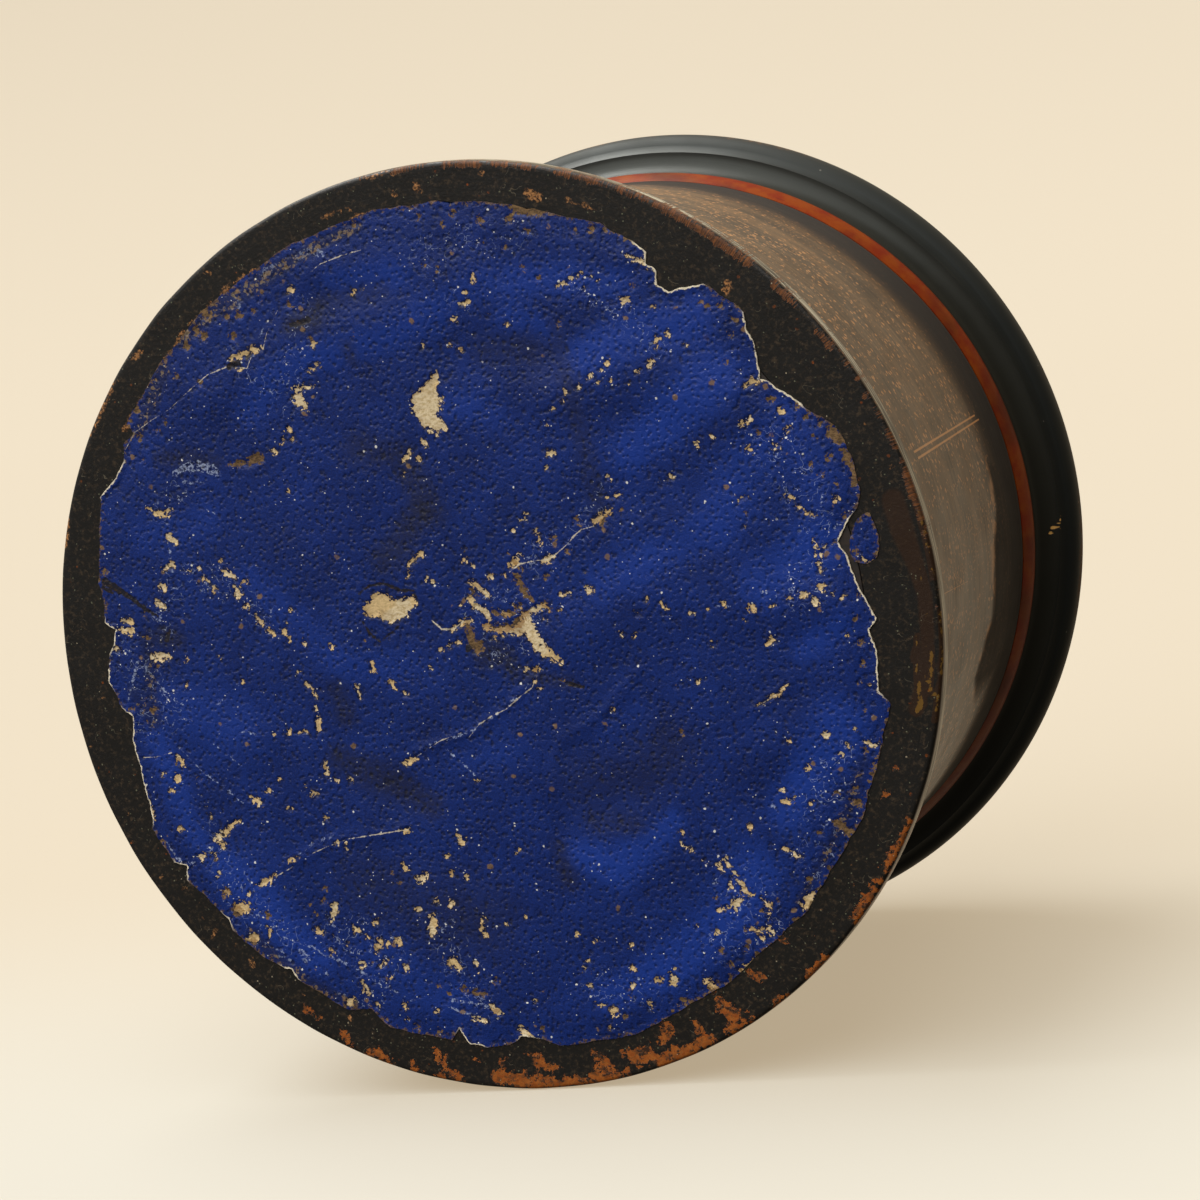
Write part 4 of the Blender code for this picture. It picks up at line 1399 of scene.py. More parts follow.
def depth_in(
    places: np.ndarray, marks: Iterable[np.ndarray], unit: float, margin: float = 0.0008
) -> np.ndarray:
    """How deep each place lies in the nearest mark.

    Args:
        places: Places in the plane, in metres.
        marks: The marks' chains.
        unit: What 1 stands for in the chains, in metres.
        margin: How far outside the marks the depth is still followed.

    Returns:
        The depths in millimetres, negative outside.
    """
    depth = np.full(len(places), -margin)
    for mark in marks:
        chain = mark * unit
        near = _near(places, chain, margin)
        if len(near):
            gap, size = _gaps(places[near], chain)
            depth[near] = np.maximum(depth[near], size - gap)
    return depth / MILLIMETRE


def swell_of(
    places: np.ndarray, patches: Iterable[Patch], unit: float, laid: Callable[[list[Stroke]], list] = chains
) -> np.ndarray:
    """The sum of soft patches at each place.

    Args:
        places: Places in the plane, in metres.
        patches: The patches.
        unit: What 1 stands for in the patches' dabs, in metres.
        laid: What turns a stroke into its chain.

    Returns:
        The sum, each patch counting its strength in its middle and nothing at its edge.
    """
    total = np.zeros(len(places))
    for patch in patches:
        chain = laid([patch.dabs])[0] * unit
        near = _near(places, chain, 0.0)
        if len(near):
            gap, size = _gaps(places[near], chain)
            total[near] += patch.strength * np.clip(1 - (gap / size) ** 2, 0, 1) ** 2
    return total


class Body(Enum):
    """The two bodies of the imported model."""

    CASE = "case"
    LID = "lid"


def dress(piece: bpy.types.Object, finish: bpy.types.Material, body: Body, node: str) -> None:
    """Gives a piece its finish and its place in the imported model.

    Args:
        piece: The piece.
        finish: Its material.
        body: The body that it rides on.
        node: The CAD node that it stands for.
    """
    piece.data.materials.append(finish)
    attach(piece, body.value)
    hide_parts(node)
    log.info("%s: %d faces, rides on %s", piece.name, len(piece.data.polygons), body.value)


@dataclass
class Case:
    """The turned tube with its foot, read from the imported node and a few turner's sizes."""

    segments: int = 720
    wall_radius: float = 0.0404
    bore_radius: float = 0.0369
    band_seat_radius: float = 0.0389
    disc_seat_radius: float = 0.0380
    disc_seat_depth: float = 0.0039
    band_seat_depth: float = 0.0029
    cove_radius: float = 0.0040
    fillet_height: float = 0.0022
    edge_round: float = 0.0004
    ring_steps: int = 19
    wall_steps: int = 58
    cove_steps: int = 14
    bore_steps: int = 8
    round_steps: int = 5
    short_steps: int = 3
    seat_steps: int = 2
    hand_wear: float = 0.00007
    wear_rounds: float = 3.0
    wear_changes_per_metre: float = 260.0
    wear_swing: float = 0.8
    unmarked: float = -0.8
    lip_fade: float = 1.2
    lip_ends: float = 5.0

    def __post_init__(self) -> None:
        """Reads the foot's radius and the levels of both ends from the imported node."""
        low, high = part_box("case")
        self.foot_radius = high.x
        self.underside = low.z
        self.top = high.z

    @property
    def foot_top(self) -> float:
        """Level of the ledge above the foot's fillet."""
        return self.underside + self.fillet_height

    def profile(self) -> TurningPen:
        """Draws the shoulder, the wall, the cove, the foot, the rebate and the bore."""
        r, edge = self.edge_round, self.foot_radius - self.edge_round
        pen = TurningPen(self.band_seat_radius, self.top)
        pen.line(self.band_seat_radius, self.top - self.band_seat_depth)
        pen.line(self.wall_radius - r / 2, self.top - self.band_seat_depth)
        pen.arc(self.wall_radius - r / 2, self.top - self.band_seat_depth - r / 2, -90, self.short_steps)
        pen.line(self.wall_radius, self.foot_top + self.cove_radius, self.wall_steps)
        pen.arc(self.wall_radius + self.cove_radius, self.foot_top + self.cove_radius, 90, self.cove_steps)
        pen.line(edge, self.foot_top)
        pen.arc(edge, self.foot_top - r, -90, self.round_steps)
        pen.line(self.foot_radius, self.underside + r, self.short_steps)
        pen.arc(edge, self.underside + r, -90, self.round_steps)
        pen.line(self.disc_seat_radius, self.underside, self.ring_steps)
        pen.line(self.disc_seat_radius, self.underside + self.disc_seat_depth, self.seat_steps)
        pen.line(self.bore_radius, self.underside + self.disc_seat_depth)
        pen.line(self.bore_radius, self.top, self.bore_steps)
        return pen.line(self.band_seat_radius, self.top)

    def mark(self, piece: bpy.types.Object) -> None:
        """Stores the wear of the foot and the marks of the wall, and softens the foot's arris."""
        points = points_of(piece)
        flat = points[:, :2]
        radius = np.linalg.norm(flat, axis=1)
        on_foot = (points[:, 2] < self.foot_top + self.edge_round) & (radius > self.bore_radius)
        turn = np.arctan2(points[:, 1], points[:, 0])
        wall = np.column_stack([turn * self.wall_radius, points[:, 2]])

        unit = self.foot_radius * THOUSANDTH
        away = np.full(len(points), self.unmarked)
        store(piece, "wear", np.where(on_foot, depth_in(flat, polar(ORANGE_WEAR_SHARES), unit), away))
        store(piece, "thin", np.where(on_foot, depth_in(flat, polar(BROWN_WEAR_SHARES), unit), away))
        store(piece, "gold", np.where(on_foot, swell_of(flat, GOLD_PATCH_SHARES, unit, polar), 0))
        store(piece, "dust", np.where(on_foot, swell_of(flat, DUST_PATCH_SHARES, unit, polar), 0))
        cracked = depth_in(wall, unrolled(WALL_CRACKS, self.wall_radius), 1.0)
        store(piece, "crack", np.where(on_foot, away, cracked))
        past, ridge = self.lacquer_lip(points)
        store(piece, "beyond", np.where(on_foot, 0.0, past))
        store(piece, "ridge", np.where(on_foot, 0.0, ridge))

        arris = closeness(radius - self.foot_radius, self.wear_rounds * self.edge_round)
        arris *= points[:, 2] < self.underside + 2 * self.edge_round
        rough = np.clip(0.5 + noise_at(points, self.wear_changes_per_metre) * self.wear_swing, 0, 1)
        points[:, :2] *= (1 - arris * self.hand_wear * rough / np.maximum(radius, self.bore_radius))[:, None]
        move_points(piece, points)

    def lacquer_lip(self, points: np.ndarray) -> tuple[np.ndarray, np.ndarray]:
        """Follows the lip where the lacquer ran thick.

        Args:
            points: Places on the wall.

        Returns:
            How far each place lies above the lip, and how near to it, both from 0 to 1.
        """
        azimuth, level = np.reshape(LACQUER_LIP, (-1, 2)).T
        here = np.degrees(np.arctan2(points[:, 1], points[:, 0]))
        past = (points[:, 2] / MILLIMETRE - np.interp(here, azimuth, level)) / self.lip_fade
        ends = np.clip(np.minimum(here - azimuth[0], azimuth[-1] - here) / self.lip_ends, 0, 1)
        return np.clip(past, 0, 1) * ends, closeness(past, 1.0) * ends

    def build(self) -> None:
        """Turns the case, marks it and dresses it."""
        piece = self.profile().turned("case_tube", self.segments)
        self.mark(piece)
        finish = CaseFinish(self.underside, self.wall_radius, self.foot_radius)
        dress(piece, finish.material(), Body.CASE, "case")


@dataclass
class BottomDisc:
    """The wooden disc let into the foot, under the paper."""

    segments: int = 256
    edge_round: float = 0.00008
    swelling: float = 0.00022
    face_steps: int = 24
    round_steps: int = 3

    def build(self) -> None:
        """Turns the disc with softened arrises and dresses it."""
        low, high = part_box("base_disc")
        radius, r = high.x + self.swelling, self.edge_round
        pen = TurningPen(0.0, high.z)
        pen.line(radius - r, high.z, self.face_steps).arc(radius - r, high.z - r, -90, self.round_steps)
        pen.line(radius, low.z + r, self.round_steps).arc(radius - r, low.z + r, -90, self.round_steps)
        pen.line(0.0, low.z, self.face_steps)
        piece = pen.turned("bottom_disc", self.segments)
        dress(piece, DiscWood().material(), Body.CASE, "base_disc")


@dataclass
class RedBand:
    """The lacquered band at the shoulder, swelling from the wall to a crest near the lid."""

    segments: int = 512
    inner_radius: float = 0.0392
    wall_radius: float = Case.wall_radius
    crest_depth: float = 0.0006
    top_degrees: float = 60.0
    flare: float = 1.35
    steps: int = 12

    def build(self) -> None:
        """Turns the band and dresses it."""
        low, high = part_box("red_band")
        crest, bulge = high.z - self.crest_depth, high.x - self.wall_radius
        top_turn = math.radians(self.top_degrees)
        upper = self.crest_depth / math.sin(top_turn)
        pen = TurningPen(self.inner_radius, high.z)
        for step in range(self.steps):
            turn = top_turn * (1 - step / self.steps)
            pen.line(self.wall_radius + bulge * math.cos(turn), crest + upper * math.sin(turn))
        for step in range(self.steps + 1):
            share = step / self.steps
            pen.line(self.wall_radius + bulge * (1 - share**self.flare), crest + (low.z - crest) * share)
        pen.line(self.inner_radius, low.z).line(self.inner_radius, high.z)
        piece = pen.turned("shoulder_band", self.segments)
        dress(piece, BandLacquer(high.z).material(), Body.CASE, "red_band")


@dataclass
class Lid:
    """The lid: boss, dome, roll, cove, collar and the hollow under the dome."""

    segments: int = 400
    fillet_radius: float = 0.0409
    cove_radius: float = 0.0024
    quirk: float = 0.0005
    roll_radius: float = 0.0025
    roll_undercut: float = 60.0
    dome_step: float = 0.0009
    dome_step_height: float = 0.0008
    dome_rise: float = 0.0068
    boss_radius: float = 0.0100
    hole_radius: float = 0.0050
    collar_depth: float = 0.0050
    collar_thickness: float = 0.0022
    collar_gap: float = 0.0003
    ceiling: float = 0.0038
    edge_round: float = 0.0003
    dome_steps: int = 30
    roll_steps: int = 30
    cove_steps: int = 14
    boss_steps: int = 6
    round_steps: int = 4
    short_steps: int = 3
    crown_wear: float = 0.0007
    boss_wear: float = 0.0009
    step_wear: float = 0.0008
    wear_share: float = 0.55
    wear_swing: float = 0.5
    wear_changes_per_metre: float = 70.0
    clearance: float = 1e-5

    def __post_init__(self) -> None:
        """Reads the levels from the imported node, and works out the roll's centre."""
        low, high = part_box("lid")
        self.top = high.z
        self.collar_foot = low.z
        self.seat = low.z + self.collar_depth
        self.rim_radius = high.x
        self.roll_x = self.rim_radius - self.roll_radius
        self.roll_z = self.seat + self.cove_radius + self.quirk + self.roll_radius
        self.dome_edge = self.roll_z + self.roll_radius + self.dome_step_height
        self.collar_radius = Case.bore_radius - self.collar_gap
        self.hollow_radius = self.collar_radius - self.collar_thickness

    def dome(self, pen: TurningPen, edge: float, outer: float, inner: float, outwards: bool) -> None:
        """Draws a low dome, level at the top.

        Args:
            pen: The pen.
            edge: Level of its outer edge.
            outer: Radius of its outer edge.
            inner: Radius where it starts at the top.
            outwards: Whether it is drawn from the top down.
        """
        for step in range(1, self.dome_steps + 1):
            share = step / self.dome_steps
            turn = math.pi / 2 * (share if outwards else 1 - share)
            pen.line(inner + (outer - inner) * math.sin(turn), edge + self.dome_rise * math.cos(turn))

    def profile(self) -> TurningPen:
        """Draws the lid from the string hole, over the dome and the roll, and back through the hollow."""
        r = self.edge_round
        pen = TurningPen(self.hole_radius, self.top)
        pen.line(self.boss_radius - r, self.top, self.boss_steps)
        pen.arc(self.boss_radius - r, self.top - r, -90, self.round_steps)
        pen.line(self.boss_radius, self.dome_edge + self.dome_rise)
        self.dome(pen, self.dome_edge, self.roll_x - self.dome_step, self.boss_radius, True)
        pen.line(self.roll_x - self.dome_step, self.roll_z + self.roll_radius)
        pen.line(self.roll_x, self.roll_z + self.roll_radius)
        pen.arc(self.roll_x, self.roll_z, -90 - self.roll_undercut, self.roll_steps)
        cove_x = self.fillet_radius + self.cove_radius
        pen.line(cove_x, self.seat + self.cove_radius).arc(cove_x, self.seat, 90, self.cove_steps)
        pen.line(self.collar_radius, self.seat, self.short_steps)
        pen.line(self.collar_radius, self.collar_foot + r)
        pen.arc(self.collar_radius - r, self.collar_foot + r, -90, self.short_steps)
        pen.line(self.hollow_radius, self.collar_foot)
        pen.line(self.hollow_radius, self.dome_edge - self.ceiling, self.round_steps)
        self.dome(pen, self.dome_edge - self.ceiling, self.hollow_radius, self.hole_radius, False)
        return pen.line(self.hole_radius, self.top)

    def mark(self, piece: bpy.types.Object) -> None:
        """Stores the wear of the rim, and where the wood is bare."""
        points = points_of(piece)
        radius = np.linalg.norm(points[:, :2], axis=1)
        level = points[:, 2]
        crown = closeness(radius - self.rim_radius, self.crown_wear)
        boss = closeness(radius - self.boss_radius, self.boss_wear) * (level > self.dome_edge)
        step = closeness(radius - self.roll_x + self.dome_step, self.step_wear)
        step *= level > self.roll_z + self.roll_radius
        uneven = self.wear_share + self.wear_swing * noise_at(points, self.wear_changes_per_metre)
        store(piece, "rub", np.maximum(np.maximum(crown, boss), step) * uneven)
        under_ceiling = level < self.ceiling_level(radius) + self.clearance
        in_hollow = (radius < self.hollow_radius + self.clearance) & under_ceiling
        store(piece, "hollow", ((level < self.seat - self.clearance) | in_hollow).astype(float))

    def ceiling_level(self, radius: np.ndarray) -> np.ndarray:
        """Level of the ceiling of the hollow at each radius."""
        share = np.clip((radius - self.hole_radius) / (self.hollow_radius - self.hole_radius), 0, 1)
        return self.dome_edge - self.ceiling + self.dome_rise * np.sqrt(1 - share * share)

    def build(self) -> None:
        """Turns the lid, marks it and dresses it."""
        piece = self.profile().turned("moulded_lid", self.segments)
        self.mark(piece)
        finish = LidLacquer(self.rim_radius)
        dress(piece, finish.material(), Body.LID, "lid")


@dataclass
class StringEyelet:
    """The brass bush in the string hole."""

    segments: int = 160
    bore_radius: float = 0.0035
    stem_radius: float = 0.0047
    lip_height: float = 0.0013
    edge_round: float = 0.0005
    round_steps: int = 8
    bore_steps: int = 4
    lip_steps: int = 3

    def build(self) -> None:
        """Turns the bush with a rounded lip and mouth, and dresses it."""
        low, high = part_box("string_eyelet")
        r, lip = self.edge_round, high.x
        base = high.z - self.lip_height
        pen = TurningPen(self.bore_radius + r, high.z)
        pen.line(lip - r, high.z, self.lip_steps).arc(lip - r, high.z - r, -90, self.round_steps)
        pen.line(lip, base).line(self.stem_radius, base).line(self.stem_radius, low.z)
        pen.line(self.bore_radius, low.z).line(self.bore_radius, high.z - r, self.bore_steps)
        pen.arc(self.bore_radius + r, high.z - r, -90, self.round_steps)
        piece = pen.turned("brass_eyelet", self.segments)
        dress(piece, EyeletBrass().material(), Body.LID, "string_eyelet")


def paper_marks() -> dict[str, list[np.ndarray]]:
    """The hard-edged marks on the paper, by the names that its material reads."""
    return {
        "chip": chains(CREAM_CHIP_SHARES, CREAM_DOT_SHARES),
        "brown": chains(BROWN_CHIP_SHARES, BROWN_DOT_SHARES),
        "scuff": chains(SCUFF_SHARES),
        "crack": chains(CRACK_SHARES),
    }


# Soft patches on the paper, by the names that its material reads, and the most that each may add up to
SOFT_MARKS = {
    "rub": (RUBBED_PATCH_SHARES, 1.0),
    "glow": (BRIGHT_PATCH_SHARES, 1.2),
    "distress": (DISTRESS_PATCH_SHARES, 1.0),
    "stain": (STAIN_PATCH_SHARES, 1.0),
}


@dataclass
class TornSheet:
    """A torn sheet of glazed paper glued to the underside, modelled face, edge and back.

    Widths at the marks and the rim, and the heights of curl, chips and waves, are in millimetres.
    """

    name: str
    node: str
    slot: str
    outline_shares: Sequence[float]
    centre_shares: tuple[float, float] = (0.0, 0.0)
    cell: float = 0.00044
    fine_cuts: int = 2
    relief: float = 1.0
    white_edges: Sequence[Band] = WHITE_EDGES
    paper: float = 0.00012
    air: float = 0.00002
    lift: float = 0.00012
    ragged: float = 0.00018
    fray_steps: int = 14
    frays: Waves = ((530.0, 1.0), (1300.0, 0.6), (3300.0, 0.4))
    wander: Waves = ((95.0, 0.05), (260.0, 0.025))
    pebbles: Waves = ((900.0, 0.012),)
    shag: Waves = ((1700.0, 0.10),)
    white_fade_degrees: float = 1.2
    spare_cells: float = 1.5
    fine_cells: float = 1.2
    fine_depth: float = -0.22
    glue_width: float = 2.6
    curl_place: float = 0.15
    curl_width: float = 0.45
    curl_height: float = 0.09
    chip_fade: float = 0.12
    chip_depth: float = 0.09
    chip_most_share: float = 0.7
    brown_inset: float = 0.05
    crack_fade: float = 0.2
    crack_share: float = 0.10
    least_height: float = 0.03
    rim_width: float = 3.0
    rim_search: float = 3.5
    sharp_degrees: float = 50.0

    def __post_init__(self) -> None:
        """Reads the foot's radius and the wood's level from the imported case."""
        low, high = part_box("case")
        self.unit = high.x * THOUSANDTH
        self.wood = low.z
        self.centre = np.array(self.centre_shares) * self.unit
        self.samples, self.sample_torn = self.torn_outline()
        offsets = self.samples - self.centre
        turns = np.degrees(np.arctan2(offsets[:, 1], offsets[:, 0]))
        order = np.argsort(turns)
        self.turns, self.reach = turns[order], np.linalg.norm(offsets, axis=1)[order]

    def torn_outline(self) -> tuple[np.ndarray, np.ndarray]:
        """Follows the outline in small steps and frays it.

        Returns:
            The points in metres, and whether the edge is torn white there.
        """
        starts = round_places(self.outline_shares) * self.unit
        ends = np.roll(starts, -1, axis=0)
        shares = np.arange(self.fray_steps) / self.fray_steps
        line = (starts[:, None] + (ends - starts)[:, None] * shares[None, :, None]).reshape(-1, 2)
        outwards = line - self.centre
        outwards /= np.linalg.norm(outwards, axis=1)[:, None]
        line = line + outwards * (waves_at(line, self.frays) * self.ragged)[:, None]
        azimuths = np.degrees(np.arctan2(line[:, 1], line[:, 0]))
        torn = np.zeros(len(line))
        for start, end in self.white_edges:
            inside = np.minimum(azimuths - start, end - azimuths)
            torn = np.maximum(torn, np.clip(inside / self.white_fade_degrees + 0.5, 0, 1))
        return line, torn

    def reach_at(self, places: np.ndarray) -> np.ndarray:
        """How far the sheet reaches from its centre, in the direction of each place."""
        offsets = places - self.centre
        turns = np.degrees(np.arctan2(offsets[:, 1], offsets[:, 0]))
        return np.interp(turns, self.turns, self.reach, period=360)

    def spare(self, places: np.ndarray) -> np.ndarray:
        """How far each place lies inside the outline, along the ray from the centre."""
        return self.reach_at(places) - np.linalg.norm(places - self.centre, axis=1)

    def marks_depth(self, places: np.ndarray) -> np.ndarray:
        """How deep each place lies in any hard-edged mark, in millimetres."""
        return depth_in(places, [mark for marks in paper_marks().values() for mark in marks], self.unit)

    def face(self) -> bmesh.types.BMesh:
        """Makes the flat face: a grid that is finer at the marks and the edge, cut along the outline."""
        mesh = bmesh.new()
        half = float(self.reach.max()) + self.cell
        count = math.ceil(2 * half / self.cell)
        bmesh.ops.create_grid(mesh, x_segments=count, y_segments=count, size=half)
        bmesh.ops.translate(mesh, verts=mesh.verts[:], vec=(*self.centre, 0.0))
        self.trim(mesh, -self.spare_cells * self.cell)
        places = np.array([vert.co.xy for vert in mesh.verts])
        at_edge = self.spare(places) < self.fine_cells * self.cell
        busy = (self.marks_depth(places) > self.fine_depth) | at_edge
        fine = {edge for face in mesh.faces if any(busy[v.index] for v in face.verts) for edge in face.edges}
        bmesh.ops.subdivide_edges(mesh, edges=list(fine), cuts=self.fine_cuts, use_grid_fill=True)
        self.trim(mesh, 0.0)
        self.keep_largest(mesh)
        self.fit_edge(mesh)
        bmesh.ops.reverse_faces(mesh, faces=mesh.faces[:])
        return mesh

    def trim(self, mesh: bmesh.types.BMesh, limit: float) -> None:
        """Deletes what lies outside the outline by more than a limit."""
        places = np.array([vert.co.xy for vert in mesh.verts])
        outside = self.spare(places) < limit
        mesh.verts.ensure_lookup_table()
        doomed = [mesh.verts[index] for index in np.flatnonzero(outside)]
        bmesh.ops.delete(mesh, geom=doomed, context="VERTS")
        mesh.verts.index_update()

    def keep_largest(self, mesh: bmesh.types.BMesh) -> None:
        """Deletes corners that hang on by a point, until the edge is one loop."""
        while True:
            loose = [vert for vert in mesh.verts if sum(edge.is_boundary for edge in vert.link_edges) != 2]
            loose = [vert for vert in loose if vert.is_boundary or not vert.link_faces]
            if not loose:
                break
            bmesh.ops.delete(mesh, geom=loose, context="VERTS")
        self.keep_island(mesh)
        mesh.verts.index_update()

    def keep_island(self, mesh: bmesh.types.BMesh) -> None:
        """Keeps only the piece of mesh that holds the most vertices."""
        left = set(mesh.verts)
        islands = []
        while left:
            found, queue = set(), [left.pop()]
            while queue:
                vert = queue.pop()
                found.add(vert)
                for edge in vert.link_edges:
                    other = edge.other_vert(vert)
                    if other in left:
                        left.remove(other)
                        queue.append(other)
            islands.append(found)
        islands.sort(key=len)
        for island in islands[:-1]:
            bmesh.ops.delete(mesh, geom=list(island), context="VERTS")

    def fit_edge(self, mesh: bmesh.types.BMesh) -> None:
        """Moves the edge of the mesh onto the outline."""
        tree = self.outline_tree()
        for vert in mesh.verts:
            if vert.is_boundary:
                vert.co = tree.find(vert.co)[0]

    def outline_tree(self) -> KDTree:
        """A search tree of the outline's points."""
        tree = KDTree(len(self.samples))
        for index, place in enumerate(self.samples):
            tree.insert((*place, 0.0), index)
        tree.balance()
        return tree

    def close(self, mesh: bmesh.types.BMesh) -> None:
        """Gives the sheet its edge and its flat back, against the wood."""
        rim = [edge for edge in mesh.edges if edge.is_boundary]
        made = bmesh.ops.extrude_edge_only(mesh, edges=rim)["geom"]
        for vert in vertices_in(made):
            vert.co.z = self.wood - self.air
        loop = [item for item in made if isinstance(item, bmesh.types.BMEdge)]
        bmesh.ops.contextual_create(mesh, geom=loop)
        bmesh.ops.recalc_face_normals(mesh, faces=mesh.faces[:])

    def heights(self, places: np.ndarray, fields: dict[str, np.ndarray]) -> np.ndarray:
        """Height of the sheet's face above the wood.

        Args:
            places: Places in the plane, in metres.
            fields: The marks there.

        Returns:
            The heights in metres.
        """
        swell = swell_of(places, FOLD_PATCH_SHARES, self.unit) * MILLIMETRE * self.relief
        wander = waves_at(places, self.wander) * MILLIMETRE * self.relief
        pebble = waves_at(places, self.pebbles) * MILLIMETRE
        body = self.paper + self.lift + swell + wander
        free = np.clip(fields["rim"] / self.glue_width, 0, 1)
        free = free * free * (3 - 2 * free)
        curl = closeness(fields["rim"] - self.curl_place, self.curl_width) * self.curl_height * MILLIMETRE
        height = self.paper + (body - self.paper) * free + pebble + fields["torn"] * curl
        chipped = np.maximum(fields["chip"], fields["brown"] - self.brown_inset)
        sunk = np.clip(0.5 + chipped / self.chip_fade, 0, 1)
        height -= sunk * np.minimum(self.chip_depth * MILLIMETRE, self.chip_most_share * height)
        crack = np.clip(0.5 + fields["crack"] / self.crack_fade, 0, 1)
        height -= crack * self.crack_share * height
        return np.clip(height, self.least_height * MILLIMETRE, self.wood - self.air)

    def fields(self, places: np.ndarray) -> dict[str, np.ndarray]:
        """The marks at each place of the sheet.

        Args:
            places: Places in the plane, in metres.

        Returns:
            Depths in millimetres and soft patches, by the names that the paper's material reads.
        """
        shaggy = waves_at(places, self.shag)
        found = {name: depth_in(places, marks, self.unit) + shaggy for name, marks in paper_marks().items()}
        for name, (patches, most) in SOFT_MARKS.items():
            found[name] = np.clip(swell_of(places, patches, self.unit), 0, most)
        rim, torn = np.full(len(places), self.rim_width), np.zeros(len(places))
        tree = self.outline_tree()
        for index in np.flatnonzero(self.spare(places) < self.rim_search * MILLIMETRE):
            nearest, distance = tree.find((*places[index], 0.0))[1:]
            rim[index] = min(distance / MILLIMETRE, self.rim_width)
            torn[index] = self.sample_torn[nearest]
        found["rim"], found["torn"] = rim, torn
        return found

    def build(self) -> None:
        """Cuts the sheet, lays it on the wood, marks it and dresses it."""
        mesh = self.face()
        places = np.array([vert.co.xy for vert in mesh.verts])
        fields = self.fields(places)
        heights = self.heights(places, fields)
        for name in fields:
            mesh.verts.layers.float.new(name)
        for name, values in fields.items():
            layer = mesh.verts.layers.float[name]
            for vert, value in zip(mesh.verts, values):
                vert[layer] = value
        for vert, height in zip(mesh.verts, heights):
            vert.co.z = self.wood - height
        self.close(mesh)
        piece = piece_from(mesh, self.name, self.sharp_degrees)
        finish = BluePaper(self.name + "_glaze", self.unit)
        dress(piece, finish.material(), Body.CASE, self.node)


@dataclass(frozen=True)
class Lamp:
    """A soft lamp, far away, in the direction given along the camera's axes."""

    name: str
    right: float
    up: float
    near: float
    strength: float
    spread_degrees: float
    colour: Colour


@dataclass(frozen=True)
class Glow:
    """A part of the room that is bright, round a direction along the camera's axes."""

    right: float
    up: float
    near: float
    start: float
    full: float
    strength: float
    colour: Colour


